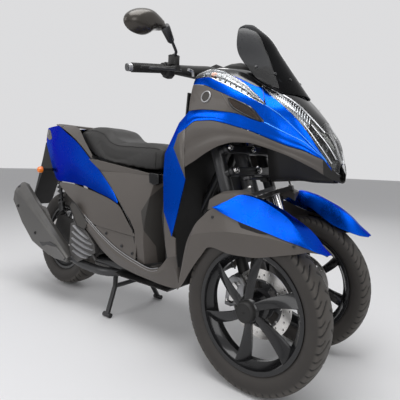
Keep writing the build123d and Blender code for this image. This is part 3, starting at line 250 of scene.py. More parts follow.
def finish(
        name, colour, rough, metal=0.0, coat=0.0, grain=900.0, depth=0.15, mottle=0.10, wear=0.35,
        worn=None, gloss_change=0.10, marks=9.0):
    """A procedural finish; depth is the bump strength, mottle how far the marks change the colour."""
    mat = bpy.data.materials.new(name)
    mat.use_nodes = True
    tree = mat.node_tree
    shader = tree.nodes["Principled BSDF"]
    shader.inputs["Metallic"].default_value = metal
    shader.inputs["Coat Weight"].default_value = coat
    shader.inputs["Coat Roughness"].default_value = 0.06
    shader.inputs["Specular IOR Level"].default_value = 0.32
    worn = worn or [min(1.0, c * 2.2 + 0.03) for c in colour]
    mask = put_group(mat, marks_group, Scale=marks, Contrast=1.6).outputs["Mask"]
    tones = mix_node(
        tree, mask, [c * (1 - mottle) for c in colour], [min(1.0, c * (1 + mottle)) for c in colour])
    rubbed = put_group(mat, wear_group, Amount=wear, Scale=60.0).outputs["Mask"]
    tree.links.new(mix_node(tree, rubbed, tones, worn), shader.inputs["Base Color"])
    spread = tree.nodes.new("ShaderNodeMapRange")
    spread.inputs["To Min"].default_value = max(0.02, rough - gloss_change)
    spread.inputs["To Max"].default_value = min(1.0, rough + gloss_change)
    tree.links.new(mask, spread.inputs["Value"])
    tree.links.new(spread.outputs["Result"], shader.inputs["Roughness"])
    bump = tree.nodes.new("ShaderNodeBump")
    bump.inputs["Strength"].default_value, bump.inputs["Distance"].default_value = depth, 0.0004
    tree.links.new(
        put_group(mat, grain_group, Scale=grain, Roughness=0.6).outputs["Height"], bump.inputs["Height"])
    tree.links.new(bump.outputs["Normal"], shader.inputs["Normal"])
    return mat


def node_of(mat, kind):
    """The first node of a kind in a material."""
    return next(node for node in mat.node_tree.nodes if node.bl_idname == kind)


# %% Plain finishes
GREY = (0.094, 0.083, 0.075)
panel_grey = finish(
    "panel_grey", GREY, 0.46, coat=0.12, grain=1400.0, depth=0.10, mottle=0.07, wear=0.18,
    worn=(0.20, 0.185, 0.17))
panel_black = finish("panel_black", (0.016, 0.0155, 0.015), 0.52, grain=1500.0, depth=0.32, wear=0.15)
gloss_black = finish(
    "gloss_black", (0.004, 0.004, 0.0045), 0.16, coat=0.25, depth=0.02, wear=0.1, gloss_change=0.05)
satin_metal = finish(
    "satin_metal", (0.018, 0.018, 0.019), 0.38, metal=0.25, coat=0.2, grain=700.0, depth=0.10,
    worn=(0.25, 0.25, 0.26))
wheel_black = finish(
    "wheel_black", (0.009, 0.009, 0.010), 0.26, metal=0.2, coat=0.35, grain=600.0, depth=0.03, wear=0.15,
    worn=(0.12, 0.12, 0.12), gloss_change=0.06)
cast_alloy = finish(
    "cast_alloy", (0.30, 0.30, 0.31), 0.46, metal=0.9, grain=420.0, depth=0.35, worn=(0.7, 0.7, 0.7))
dark_alloy = finish(
    "dark_alloy", (0.055, 0.053, 0.052), 0.50, metal=0.6, grain=420.0, depth=0.4, worn=(0.35, 0.34, 0.33))
bright_steel = finish(
    "bright_steel", (0.62, 0.61, 0.60), 0.24, metal=1.0, grain=1200.0, depth=0.04, mottle=0.05)
chrome_trim = finish(
    "chrome_trim", (0.78, 0.78, 0.79), 0.09, metal=1.0, depth=0.01, mottle=0.03, gloss_change=0.04)
lamp_silver = finish(
    "lamp_silver", (0.36, 0.37, 0.38), 0.24, metal=1.0, grain=260.0, depth=0.20, mottle=0.25)
lamp_dark = finish(
    "lamp_dark", (0.085, 0.086, 0.080), 0.28, metal=0.9, grain=260.0, depth=0.15, mottle=0.25)
grip_rubber = finish("grip_rubber", (0.016, 0.0155, 0.015), 0.66, grain=1000.0, depth=0.4, wear=0.1)
mat_rubber = finish("mat_rubber", (0.042, 0.039, 0.036), 0.62, grain=1000.0, depth=0.5, wear=0.15)
tyre_wall = finish(
    "tyre_wall", (0.040, 0.036, 0.033), 0.62, grain=700.0, depth=0.45, mottle=0.18, wear=0.3,
    worn=(0.10, 0.092, 0.085), gloss_change=0.10, marks=14.0)
silencer_grey = finish(
    "silencer_grey", (0.098, 0.095, 0.091), 0.38, metal=0.30, coat=0.1, grain=1300.0, depth=0.14,
    worn=(0.34, 0.33, 0.32))
mirror_glass = finish(
    "mirror_glass", (0.85, 0.86, 0.88), 0.03, metal=1.0, depth=0.0, mottle=0.02, wear=0.0, gloss_change=0.01
)
amber_lens = finish(
    "amber_lens", (0.95, 0.22, 0.015), 0.12, coat=1.0, grain=300.0, depth=0.25, mottle=0.12, wear=0.0)
red_lens = finish(
    "red_lens", (0.42, 0.006, 0.008), 0.10, coat=1.0, grain=300.0, depth=0.25, mottle=0.12, wear=0.0)
panel_dark = finish(
    "panel_dark", (0.050, 0.046, 0.042), 0.50, grain=1400.0, depth=0.12, mottle=0.08, wear=0.15,
    worn=(0.13, 0.12, 0.11))
# A lighter blue for the beads on the nose's crease and fold: a painted highlight
crease_highlight_blue = finish(
    "crease_highlight_blue", (0.06, 0.30, 0.95), 0.20, metal=0.8, coat=0.4, grain=900.0, depth=0.03, wear=0.0)
print("finishes", len(bpy.data.materials))

# %% [markdown]
# Metallic paint is pigment with tiny mirror flakes under clear lacquer. The flakes lie at slightly
# different angles, so each sparkles on its own. Here a cell texture tilts the normal flake by flake, and
# the clear coat on top keeps its own smooth reflection.

# %% Blue metallic paint
blue_paint = finish(
    "blue_paint", (0.0, 0.072, 0.54), 0.27, metal=1.0, coat=0.05, grain=900.0, depth=0.05, mottle=0.05,
    wear=0.10, worn=(0.03, 0.25, 0.85), gloss_change=0.05)
tree = blue_paint.node_tree
cells = tree.nodes.new("ShaderNodeTexVoronoi")
cells.inputs["Scale"].default_value = 1800.0
spot = tree.nodes.new("ShaderNodeTexCoord")
tree.links.new(spot.outputs["Object"], cells.inputs["Vector"])
tree.links.new(cells.outputs["Color"], node_of(blue_paint, "ShaderNodeBump").inputs["Height"])
shader = tree.nodes["Principled BSDF"]
# A flake seen edge-on keeps some of its blue, so the panel does not turn milky where it curves away
shader.inputs["Specular Tint"].default_value = (0.05, 0.30, 0.90, 1)
flat_tone = shader.inputs["Base Color"].links[0].from_socket
# Painted shade: the base colour darkens to a deeper blue where the panel turns away from the camera
turned_away = tree.nodes.new("ShaderNodeLayerWeight")
turned_away.inputs["Blend"].default_value = 0.42
painted_shade_tone = mix_node(tree, turned_away.outputs["Facing"], flat_tone, (0.0, 0.040, 0.36))
tree.links.new(painted_shade_tone, shader.inputs["Base Color"])
print("paint flakes per metre", cells.inputs["Scale"].default_value)

# %% Looks: a finish paired with a slot name
METAL_LOOK = (satin_metal, "black_metal")
GREY_LOOK = (panel_grey, "grey_panel")
BLACK_LOOK = (panel_black, "black_panel")
ALLOY_LOOK = (cast_alloy, "alloy")
BLUE_LOOK = (blue_paint, "blue_paint")
GLOSS_PANEL_LOOK = (gloss_black, "black_panel")
GLOSS_LOOK = (gloss_black, "black_gloss")
STEEL_LOOK = (bright_steel, "steel")
RUBBER_LOOK = (grip_rubber, "rubber")
SILVER_LOOK = (lamp_silver, "alloy")
print("black panels are made of", BLACK_LOOK[0].name)

# %% [markdown]
# Clear and smoked plastics pass light. Real glass shading in a path tracer needs a thin wall to look right,
# so the lens pieces are thin shells, and their transmission is set directly on the shader.

# %% Lenses and screen


def clear_plastic(name, colour, rough, see_through, scale, index):
    """A transparent moulding with faint swirl marks in its gloss."""
    mat = bpy.data.materials.new(name)
    mat.use_nodes = True
    tree = mat.node_tree
    shader = tree.nodes["Principled BSDF"]
    shader.inputs["Base Color"].default_value = (*colour, 1)
    shader.inputs["Transmission Weight"].default_value = see_through
    shader.inputs["IOR"].default_value = index
    mask = put_group(mat, marks_group, Scale=scale, Contrast=1.4).outputs["Mask"]
    spread = tree.nodes.new("ShaderNodeMapRange")
    spread.inputs["To Min"].default_value = rough * 0.5
    spread.inputs["To Max"].default_value = rough * 1.6
    tree.links.new(mask, spread.inputs["Value"])
    tree.links.new(spread.outputs["Result"], shader.inputs["Roughness"])
    return mat


lens_clear = clear_plastic("lens_clear", (0.95, 0.96, 0.97), 0.03, 1.0, 20.0, 1.30)
screen_smoke = clear_plastic("screen_smoke", (0.007, 0.0075, 0.009), 0.03, 0.80, 12.0, 1.16)
print("clear mouldings", lens_clear.name, screen_smoke.name)

# %% [markdown]
# ## Making meshes
# Most body panels are moulded skins a few millimetres thick with rounded edges. The helpers here build a
# surface from points, give it a wall with Solidify, round its edges with Bevel, and keep broad faces flat-
# looking with weighted normals. Real panels meet in narrow gaps, so a skin stops a little short of its
# neighbours.

# %% Mesh helpers


def settle(piece, body, material, stands_for=()):
    """Links a piece, gives it its finish and makes it ride on its body."""
    if piece.name not in scene.collection.objects:
        scene.collection.objects.link(piece)
    if material is not None:
        piece.data.materials.clear()
        piece.data.materials.append(material)
    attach(piece, body)
    if stands_for:
        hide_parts(*stands_for)
    return piece


def mesh_piece(
        name, points, faces, body, material, slot, stands_for=(), wall=0, edge=0, sharp=32, weld=0.0004):
    """A welded mesh from points in millimetres, with an optional wall and rounded edges."""
    mesh = bpy.data.meshes.new(name)
    mesh.from_pydata([Vector(point) * MM for point in points], [], faces)
    work = bmesh.new()
    work.from_mesh(mesh)
    bmesh.ops.remove_doubles(work, verts=work.verts, dist=weld * 0.1)
    bmesh.ops.recalc_face_normals(work, faces=work.faces)
    work.to_mesh(mesh)
    work.free()
    mesh.shade_smooth()
    mesh.set_sharp_from_angle(angle=radians(sharp))
    piece = bpy.data.objects.new(name, mesh)
    settle(piece, body, material, stands_for)
    if wall:
        shell = piece.modifiers.new("wall", "SOLIDIFY")
        shell.thickness, shell.use_even_offset = abs(wall) * MM, True
        shell.offset = -1.0 if wall > 0 else 1.0
    if edge:
        soften(piece, edge, sharp)
    return piece


def soften(piece, width, sharp=32, segments=2):
    """Rounds the edges that are sharper than an angle."""
    bevel = piece.modifiers.new("rounded", "BEVEL")
    bevel.width, bevel.segments, bevel.limit_method = width * MM, segments, "ANGLE"
    bevel.angle_limit = radians(sharp)
    bevel.harden_normals = False
    flat = piece.modifiers.new("flat", "WEIGHTED_NORMAL")
    flat.keep_sharp, flat.weight = True, 60
    return piece


def merge_parts(*parts):
    """Joins (points, faces) parts into one list of each."""
    points, faces = [], []
    for part_points, part_faces in parts:
        start = len(points)
        points += list(part_points)
        faces += [[start + index for index in face] for face in part_faces]
    return points, faces


def mirrored(part):
    """A part and its image on the other side of the middle plane."""
    points, faces = part
    return merge_parts(part, ([(x, -y, z) for x, y, z in points], [face[::-1] for face in faces]))


def chassis_pair(name, part, material, slot, stands_for=(), **how):
    """A right or left part and its image as one piece on the chassis."""
    return mesh_piece(name, *mirrored(part), "chassis", material, slot, stands_for, **how)


def side_copy(part, side):
    """A part made for the left, or its image for the right."""
    points, faces = part
    return (points, faces) if side == 1 else (
        [(x, -y, z) for x, y, z in points], [face[::-1] for face in faces])


def plate(outline, near, far):
    """A side-view outline of (x, z) points made solid between two y values."""
    count = len(outline)
    points = [(x, near, z) for x, z in outline] + [(x, far, z) for x, z in outline]
    sides = [(i, (i + 1) % count, count + (i + 1) % count, count + i) for i in range(count)]
    return points, [tuple(range(count))[::-1], tuple(range(count, 2 * count))] + sides


def strip_loft(sections, closed=True, caps=True):
    """Quads between sections of equal point counts."""
    count = len(sections[0])
    points = [point for section in sections for point in section]
    faces = []
    for row in range(len(sections) - 1):
        for i in range(count if closed else count - 1):
            j = (i + 1) % count
            faces.append((row * count + i, row * count + j, (row + 1) * count + j, (row + 1) * count + i))
    if closed and caps:
        faces += [tuple(range(count))[::-1], tuple((len(sections) - 1) * count + i for i in range(count))]
    return points, faces


def lathe(profile, centre, steps=96, upright=False, closed=False):
    """A profile of (radius, along) points turned round a cross axis or an upright one."""
    cx, cy, cz = centre
    sections = []
    for step in range(steps):
        turn = 2 * pi * step / steps
        ring = []
        for radius, reach in profile:
            a, b = radius * cos(turn), radius * sin(turn)
            ring.append((cx + a, cy + b, cz + reach) if upright else (cx + a, cy + reach, cz + b))
        sections.append(ring)
    points, faces = strip_loft(sections + sections[:1], closed=closed, caps=False)
    count, last = len(profile), len(sections)
    return points[:count * last], [tuple(i % (count * last) for i in face) for face in faces]


def turned(start, end, profile, steps=20):
    """A profile of (radius, share of the way) turned round the line between two points."""
    start, end = Vector(start), Vector(end)
    way = (end - start).normalized()
    aside = way.orthogonal().normalized()
    across = way.cross(aside)
    sections = [
        [
            tuple(
                start + (end - start) * share
                + (aside * cos(2 * pi * i / steps) + across * sin(2 * pi * i / steps)) * r)
            for i in range(steps)] for r, share in profile]
    return strip_loft(sections)


def rod(start, end, radius, steps=16):
    """A plain round bar between two points, with softened ends."""
    lip = min(0.2, 0.6 * radius / max(1e-6, (Vector(end) - Vector(start)).length))
    return turned(
        start, end, [(radius * 0.82, 0), (radius, lip), (radius, 1 - lip), (radius * 0.82, 1)], steps)


def bolt_heads(places, radius, height):
    """Small socket-head bolts: places are (point, direction it faces)."""
    parts = []
    for point, facing in places:
        base = Vector(point)
        tip = base + Vector(facing).normalized() * height
        parts.append(
            turned(
                base, tip,
                [
                    (radius * 1.15, 0), (radius * 1.15, 0.3), (radius, 0.35), (radius, 0.9),
                    (radius * 0.85, 1), (radius * 0.5, 1), (radius * 0.45, 0.5)], 12))
    return merge_parts(*parts)


def pipe(name, points, radius, body, material, slot, smooth=True, stands_for=()):
    """A round tube that follows points, as a curve with a bevel."""
    data = bpy.data.curves.new(name, "CURVE")
    data.dimensions, data.bevel_depth, data.bevel_resolution, data.resolution_u = "3D", radius * MM, 4, 8
    data.use_fill_caps = True
    spline = data.splines.new("NURBS" if smooth else "POLY")
    spline.points.add(len(points) - 1)
    for control, point in zip(spline.points, points):
        control.co = (*[value * MM for value in point], 1)
    if smooth:
        spline.order_u, spline.use_endpoint_u = 3, True
    return settle(bpy.data.objects.new(name, data), body, material, stands_for)


def pierced_plate(name, outlines, thickness, body, material, slot, matrix, stands_for=()):
    """A flat plate with holes: filled closed outlines in a plane, then placed by a matrix."""
    data = bpy.data.curves.new(name + "_outline", "CURVE")
    data.dimensions, data.fill_mode, data.extrude = "2D", "BOTH", thickness / 2 * MM
    for outline in outlines:
        spline = data.splines.new("POLY")
        spline.points.add(len(outline) - 1)
        for control, (a, b) in zip(spline.points, outline):
            control.co = (a * MM, b * MM, 0, 1)
        spline.use_cyclic_u = True
    shape = bpy.data.objects.new(name + "_outline", data)
    mesh = bpy.data.meshes.new_from_object(shape)
    bpy.data.objects.remove(shape)
    mesh.transform(matrix)
    piece = bpy.data.objects.new(name, mesh)
    return settle(piece, body, material, stands_for)


def circle(radius, steps=24, middle=(0, 0)):
    """Points of a circle."""
    return [
        (middle[0] + radius * cos(2 * pi * i / steps), middle[1] + radius * sin(2 * pi * i / steps))
        for i in range(steps)]


# %% Smooth curves through a table


def eased(rows, x, column):
    """Value of a table's column at x: a curve through the rows that never overshoots between them."""
    rows = sorted(rows)
    xs, values = [row[0] for row in rows], [row[column] for row in rows]
    if x <= xs[0]:
        return values[0]
    if x >= xs[-1]:
        return values[-1]
    runs = [b - a for a, b in zip(xs, xs[1:])]
    slopes = [(b - a) / run for a, b, run in zip(values, values[1:], runs)]
    tangents = [slopes[0]]
    for a, b, run_a, run_b in zip(slopes, slopes[1:], runs, runs[1:]):
        weight_a, weight_b = 2 * run_b + run_a, run_b + 2 * run_a
        tangents.append(0 if a * b <= 0 else (weight_a + weight_b) / (weight_a / a + weight_b / b))
    tangents.append(slopes[-1])
    at = max(i for i in range(len(runs)) if xs[i] <= x)
    run, share = runs[at], (x - xs[at]) / runs[at]
    return (
        (1 + 2 * share) * (1 - share) ** 2 * values[at] + share * (1 - share) ** 2 * run * tangents[at]
        + share ** 2 * (3 - 2 * share) * values[at + 1] + share ** 2 * (share - 1) * run * tangents[at + 1])


def edge_line(rows, names, name):
    """An edge of a skin as a function from x to (half-width, height)."""
    column = 1 + 2 * names.index(name)
    return lambda x: (eased(rows, x, column), eased(rows, x, column + 1))


def between(first, second, share):
    """The line a share of the way from one edge to another."""
    return lambda x: tuple(a + share * (b - a) for a, b in zip(first(x), second(x)))


def spaced(start, end, steps):
    """Evenly spaced x values from start to end."""
    return [start + (end - start) * i / steps for i in range(steps + 1)]


def skin_strip(edges, xs, across=4, crown=1.5, gap=0.9, sink=0.0):
    """One half of a skin between edges listed from top to bottom: crowned strips, drawn in by a gap."""
    sections = []
    for x in xs:
        line = [Vector(edge(x)) for edge in edges]
        whole = []
        for strip, (top, low) in enumerate(zip(line, line[1:])):
            way = low - top
            length = max(way.length, 1e-4)
            outward = Vector((-way.y, way.x)) / length
            for step in range(across + (strip == len(line) - 2)):
                share = step / across
                whole.append(
                    top + way * share + outward
                    * (min(crown, 0.09 * length) * 4 * share * (1 - share) - sink))
        if gap:
            first, last = whole[0], whole[-1]
            way_in, way_back = whole[1] - first, whole[-2] - last
            # An edge on the middle plane stays there, so that the two halves meet
            whole[0] = first + way_in.normalized() * min(gap, way_in.length / 3) * (first.x > 0.5)
            whole[-1] = last + way_back.normalized() * min(gap, way_back.length / 3)
        sections.append([(x, point.x, point.y) for point in whole])
    return strip_loft(sections, closed=False)


def skin(name, edges, xs, material, slot, stands_for=(), wall=3, edge=0.9, **how):
    """A moulded skin on both sides of the chassis."""
    part = skin_strip(edges, xs, **how)
    return chassis_pair(name, part, material, slot, stands_for, wall=wall, edge=edge, sharp=30)


# %% [markdown]
# ## The front cowl
# The nose is made of many panels that share edges: a black cover under the screen, swept-back headlights,
# turn lamps set into the shoulder, blue flanks with two sharp folds, and grey lower panels that form the
# wheel arch. One table holds every shared edge as (half-width, height) at each station, so neighbours
# always meet.

# %% Cowl table
COWL_EDGES = ("cover", "lamp", "lens", "crease", "badge", "fold", "band", "arch")
COWL = [
    (400, 152, 1024, 152, 1024, 172, 1012, 186, 994, 195, 984, 214, 872, 231, 762, 228, 640),
    (450, 148, 1042, 148, 1042, 166, 1032, 185, 1008, 195, 984, 214, 884, 229, 818, 227, 678),
    (500, 142, 1050, 142, 1050, 162, 1038, 182, 1010, 194, 978, 212, 886, 225, 845, 224, 706),
    (550, 132, 1044, 132, 1044, 156, 1028, 180, 990, 193, 957, 209, 882, 218, 845, 219, 736),
    (600, 122, 1033, 122, 1033, 152, 1008, 178, 966, 192, 935, 203, 875, 210, 836, 213, 758),
    (650, 117, 1010, 117, 1010, 155, 978, 174, 940, 186, 911, 192, 866, 199, 822, 204, 768),
    (700, 118, 976, 124, 970, 158, 936, 170, 914, 178, 884, 182, 848, 188, 807, 193, 766),
    (740, 104, 957, 123, 931, 158, 898, 160, 893, 168, 842, 169, 836, 175, 791, 179, 756),
    (780, 92, 934, 124, 899, 142, 867, 143, 865, 154, 820, 155, 816, 160, 774, 161, 742),
    (820, 79, 906, 120, 863, 126, 832, 127, 828, 134, 798, 135, 795, 139, 758, 141, 726),
    (860, 65, 864, 106, 814, 109, 790, 110, 786, 114, 776, 115, 773, 117, 746, 115, 704),
    (890, 51, 829, 91, 766, 92, 756, 93, 752, 94, 748, 95, 745, 95, 730, 91, 686),
    (910, 42, 806, 76, 730, 76.5, 729, 77, 728, 77.5, 726, 78, 725, 78, 720, 72, 670),
    (930, 34, 768, 58, 694, 58, 693, 58, 692, 58, 690, 57, 688, 56, 686, 50, 656),
    (948, 22, 706, 34, 672, 34, 671, 34, 670, 33, 669, 33, 668, 32, 667, 26, 650)]
TOP = [
    (440, 1040), (480, 1054), (520, 1062), (560, 1062), (620, 1050), (700, 1012), (760, 972), (800, 945),
    (830, 915), (860, 882), (890, 846), (922, 778), (948, 708)]
line = {name: edge_line(COWL, COWL_EDGES, name) for name in COWL_EDGES}
# Where the panels start behind, where the shoulder ends, and the foremost station
COWL_BACK, SHOULDER_END, NOSE = 450, 740, 948


def top_line(x):
    """The middle line of the top cover."""
    return 0.0, eased(TOP, x, 1)


print("cowl edges", len(line), "from x", COWL[0][0], "to", NOSE)

# %% Cowl panels
# How far down the shoulder the black reaches, and how far up the turn lamp reaches, as shares of the
# shoulder's width
BLACK_REACH = [(425, 0.08), (500, 0.12), (550, 0.55), (595, 1.0), (640, 0.85), (691, 0.42), (706, 0.0)]
LAMP_REACH = [(425, 0.08), (500, 0.12), (550, 0.55), (595, 0.98), (620, 1.0)]


def share_line(first, second, table):
    """A line between two edges whose share of the way comes from a table of x and share."""
    return lambda x: between(first, second, eased(table, x, 1))(x)


black_low = share_line(line["lamp"], line["lens"], BLACK_REACH)
lamp_top = share_line(line["lamp"], line["lens"], LAMP_REACH)
skin(
    "nose_cover", [top_line, line["cover"]], spaced(484, 890, 40), *GLOSS_LOOK, ("top_cover",), across=8,
    crown=9)
skin(
    "black_shoulder", [line["lamp"], black_low], spaced(COWL_BACK, 704, 40), *GLOSS_LOOK, across=3,
    crown=0.6)
skin(
    "blue_shoulder", [black_low, line["lens"]], spaced(597, SHOULDER_END, 24), *BLUE_LOOK, across=3,
    crown=0.6)
skin(
    "blue_flank", [line["crease"], line["badge"]], spaced(COWL_BACK, SHOULDER_END, 36), *BLUE_LOOK,
    across=4, crown=0.8)
skin(
    "blue_nose", [line["lamp"], line["crease"], line["fold"]], spaced(SHOULDER_END, 930, 26), *BLUE_LOOK,
    ("cowl",), across=5, crown=1.0)
skin(
    "blue_band", [line["fold"], between(line["fold"], line["band"], 0.62), line["band"]],
    spaced(COWL_BACK, 930, 56), *BLUE_LOOK, across=4, crown=1.6)
skin(
    "arch_panel", [line["band"], between(line["band"], line["arch"], 0.55), line["arch"]],
    spaced(COWL_BACK, 910, 52), *GREY_LOOK, ("arch_panels",), across=4, crown=2.5)
skin(
    "side_panel", [line["badge"], line["fold"]], spaced(COWL_BACK, SHOULDER_END, 40), *GREY_LOOK,
    ("badge_panels",), across=8, crown=3)
# A raised bead along each crease and fold, in a lighter blue that is a painted highlight of the sharp edge
for side_name, side in SIDES:
    for edge, start in (("crease", 735), ("fold", 742)):
        run = [(x, side * (line[edge](x)[0] - 0.4), line[edge](x)[1]) for x in spaced(start, 918, 24)]
        pipe(f"nose_{edge}_{side_name}", run, 1.9, "chassis", crease_highlight_blue, "blue_paint")
# The corner behind the arch panel, up to the edge of the leg shield blade
corner = [
    (452, 818, 229.2), (420, 800, 231), (400, 750, 231), (430, 695, 230), (462, 640, 229),
    (453, 680, 227.4), (451, 740, 228.2)]
chassis_pair(
    "arch_corners", ([(x, y, z) for x, z, y in corner], [tuple(range(len(corner)))]), *GREY_LOOK, wall=2.4)

# %% Chin below the headlights


def chin_sections():
    """Closed lower lip of the nose."""
    sections = []
    for x in spaced(905, NOSE, 8):
        lamp, band, arch = line["lamp"](x), line["band"](x), line["arch"](x)
        sections.append([
            (x, *lamp), (x, *band), (x, arch[0], arch[1]), (x, arch[0] * 0.5, arch[1] - 5),
            (x, 0, arch[1] - 6)])
    return sections


chassis_pair(
    "nose_chin", strip_loft(chin_sections(), closed=False), *BLACK_LOOK, ("chin",), wall=3, edge=1.2)

# %% Splash guard under the nose: a black moulding that hides the inside of the cowl
# It starts ahead of the steering knuckle and the tie rod, which reach x 696 over their whole travel.
GUARD_REAR = 705
GUARD_KEEL = [
    (GUARD_REAR, 61, 641, 760), (760, 78, 646, 758), (820, 76, 650, 738), (870, 60, 646, 704),
    (925, 30, 646, 664)]
keel_rows = []
for x in spaced(GUARD_REAR, 925, 30):
    half, low, high = (eased(GUARD_KEEL, x, column) for column in (1, 2, 3))
    keel_rows.append([
        (x, 0, low), (x, half * 0.55, low), (x, half * 0.9, low + 8), (x, half, low + 20),
        (x, half * 1.3, high)])
chassis_pair(
    "nose_splash_guard", strip_loft(keel_rows, closed=False), *BLACK_LOOK, wall=2.4, edge=1, sharp=40)

# %% [markdown]
# ### Air vents in the side panels
# A leaf-shaped opening with a brown honeycomb screen sits at the front of each grey panel, inside a dark
# rim. The screen is a real lattice: small cells cut by a wireframe, laid on the same curved surface and
# sunk a little.

# %% Vents
# x, share of the panel's height at the vent's top edge and at its low edge
VENT = [
    (614, 0.14, 0.20), (626, 0.09, 0.52), (640, 0.07, 0.70), (660, 0.06, 0.80), (685, 0.07, 0.87),
    (705, 0.10, 0.92), (722, 0.26, 0.96), (733, 0.60, 0.99)]


def panel_point(x, share, out=0.0):
    """A point on the side panel, pushed outwards."""
    (y0, z0), (y1, z1) = line["badge"](x), line["fold"](x)
    way = Vector((y1 - y0, z1 - z0)).normalized()
    bow = 12.0 * share * (1 - share)
    return Vector((
        x, y0 + (y1 - y0) * share - way.y * (out + bow), z0 + (z1 - z0) * share + way.x * (out + bow)))


def vent_surface(out, draw_in=0.0, steps=34, across=14):
    """Grid over the vent's outline."""
    sections = []
    for x in spaced(VENT[0][0] + draw_in * 6, VENT[-1][0] - draw_in * 6, steps):
        top, low = eased(VENT, x, 1) + draw_in * 0.06, eased(VENT, x, 2) - draw_in * 0.06
        sections.append([
            tuple(panel_point(x, top + (low - top) * j / across, out)) for j in range(across + 1)])
    return strip_loft(sections, closed=False)


# A plain round boss where a maker would put a badge: turned about the panel's own outward direction
boss_place = panel_point(521, 0.46, -1.0)
boss_way = (panel_point(521, 0.46, 8.0) - boss_place).normalized()
boss_ring = turned(
    boss_place, boss_place + boss_way * 4,
    [(22, 0), (22, 0.6), (20.5, 1.0), (18.0, 1.0), (17.2, 0.5), (16.0, 0)], 48)
chassis_pair("round_bosses", boss_ring, *ALLOY_LOOK)
boss_disc = turned(
    boss_place, boss_place + boss_way * 2.4, [(17, 0), (17, 0.8), (15, 1.0), (6, 0.8), (0.5, 0.8)], 48)
chassis_pair("boss_discs", boss_disc, panel_dark, "black_panel")

vent_brown = finish(
    "vent_brown", (0.060, 0.040, 0.030), 0.55, grain=900.0, depth=0.3, wear=0.5, worn=(0.20, 0.15, 0.12))
chassis_pair("vent_recess", vent_surface(0.6), *BLACK_LOOK)
lattice = chassis_pair(
    "vent_screen", vent_surface(2.0, draw_in=0.6, steps=26, across=9), vent_brown, "black_panel")
wire = lattice.modifiers.new("cells", "WIREFRAME")
wire.thickness, wire.use_even_offset = 1.3 * MM, False
for side_name, side in SIDES:
    rim_line = [panel_point(row[0], row[1], 1.2) for row in VENT] + [
        panel_point(row[0], row[2], 1.2) for row in VENT[::-1]]
    rim_line = [(x, side * y, z) for x, y, z in rim_line]
    pipe(f"vent_rim_{side_name}", rim_line + rim_line[:1], 2.6, "chassis", *GLOSS_PANEL_LOOK)
    joint = [
        panel_point(x, share, 0.3)
        for x, share in ((578, 0.02), (590, 0.16), (606, 0.40), (622, 0.66), (640, 0.86), (662, 0.98))]
    pipe(f"panel_joint_{side_name}", [(x, side * y, z) for x, y, z in joint], 1.3, "chassis", *GREY_LOOK)
print("vents with", len(lattice.data.polygons), "cells")

# %% [markdown]
# ### Headlights and turn lamps
# A lamp is a clear cover over a silvered housing. The housing has bowls, ribs and a bezel, and it is these
# that catch the light; the cover alone would look like an empty window. The housings follow the cover's
# edges, set inwards.

# %% Headlight covers
lamp_xs = spaced(700, 890, 30)
side_cover = skin_strip([line["cover"], line["lamp"]], lamp_xs, across=8, crown=7)
nose_cover_part = skin_strip(
    [top_line, line["cover"], line["lamp"]], spaced(890, NOSE, 12), across=6, crown=5)
mesh_piece(
    "headlight_covers", *merge_parts(mirrored(side_cover), mirrored(nose_cover_part)), "chassis",
    lens_clear, "lamp_lens", ("headlights",), wall=2.2, edge=0.6, sharp=40)

# %% Headlight housings


def set_in(first, second, share, depth):
    """A line on the skin between two edges, moved inwards by a depth."""
    def at(x):
        a, b = Vector(first(x)), Vector(second(x))
        way = (b - a).normalized() if (b - a).length > 0.01 else Vector((0.7, -0.7))
        point = a + (b - a) * share
        return max(0.0, point.x + way.y * depth), point.y - way.x * depth
    return at


housing_lines = [
    set_in(line["cover"], line["lamp"], share, depth)
    for share, depth in (
        (0.02, 4), (0.12, 16), (0.34, 22), (0.42, 12), (0.5, 24), (0.72, 20), (0.9, 14), (0.98, 4))]
housing = skin_strip(housing_lines, spaced(706, 934, 44), across=1, crown=0, gap=0)
chassis_pair("headlight_housings", housing, lamp_dark, "alloy", wall=1.2, sharp=14)
ribs = []
for index in range(20):
    x = 716 + index * 7.4
    inner, outer = set_in(line["cover"], line["lamp"], 0.16, 7)(x), set_in(
        line["cover"], line["lamp"], 0.86, 7)(x)
    ribs.append(rod((x, *inner), (x + 9, *outer), 1.6, 8))
chassis_pair("headlight_ribs", merge_parts(*ribs), *SILVER_LOOK)
shelf = skin_strip(
    [set_in(line["cover"], line["lamp"], share, 9) for share in (0.10, 0.5, 0.90)], spaced(712, 858, 30),
    across=1, crown=0, gap=0)
chassis_pair("headlight_shelves", shelf, *SILVER_LOOK, wall=1.2, sharp=14)
for side_name, side in SIDES:
    for name, share, start, end in (
            ("outer", 0.84, 852, 928), ("inner", 0.42, 866, 936), ("upper", 0.10, 730, 900)):
        run = set_in(line["cover"], line["lamp"], share, 5)
        points = [(x, side * run(x)[0], run(x)[1]) for x in spaced(start, end, 14)]
        pipe(f"light_bar_{name}_{side_name}", points, 2.6, "chassis", chrome_trim, "alloy")
print("ribs each side", len(ribs))

# %% Lamp bowls: a polished reflector with a small projector lens
bowls, eyes = [], []
for x, share, radius in ((880, 0.64, 13), (908, 0.62, 13)):
    y, z = set_in(line["cover"], line["lamp"], share, 12)(x)
    base, facing = Vector((x - 6, y, z)), Vector((0.86, 0.34, 0.30)).normalized()
    bowls.append(
        turned(
            base - facing * 8, base + facing * 6,
            [
                (radius * 0.35, 0), (radius * 0.62, 0.15), (radius * 0.86, 0.5), (radius, 1.0),
                (radius * 0.93, 1.02), (radius * 0.8, 0.55), (radius * 0.5, 0.2), (radius * 0.3, 0.1)], 28))
    eyes.append(
        turned(
            base - facing * 6, base + facing * 4,
            [
                (radius * 0.5, 0), (radius * 0.56, 0.4), (radius * 0.46, 0.75), (radius * 0.26, 0.95),
                (radius * 0.05, 1.0)], 24))
chassis_pair("headlight_bowls", merge_parts(*bowls), *SILVER_LOOK)
chassis_pair("headlight_eyes", merge_parts(*eyes), *GLOSS_LOOK)

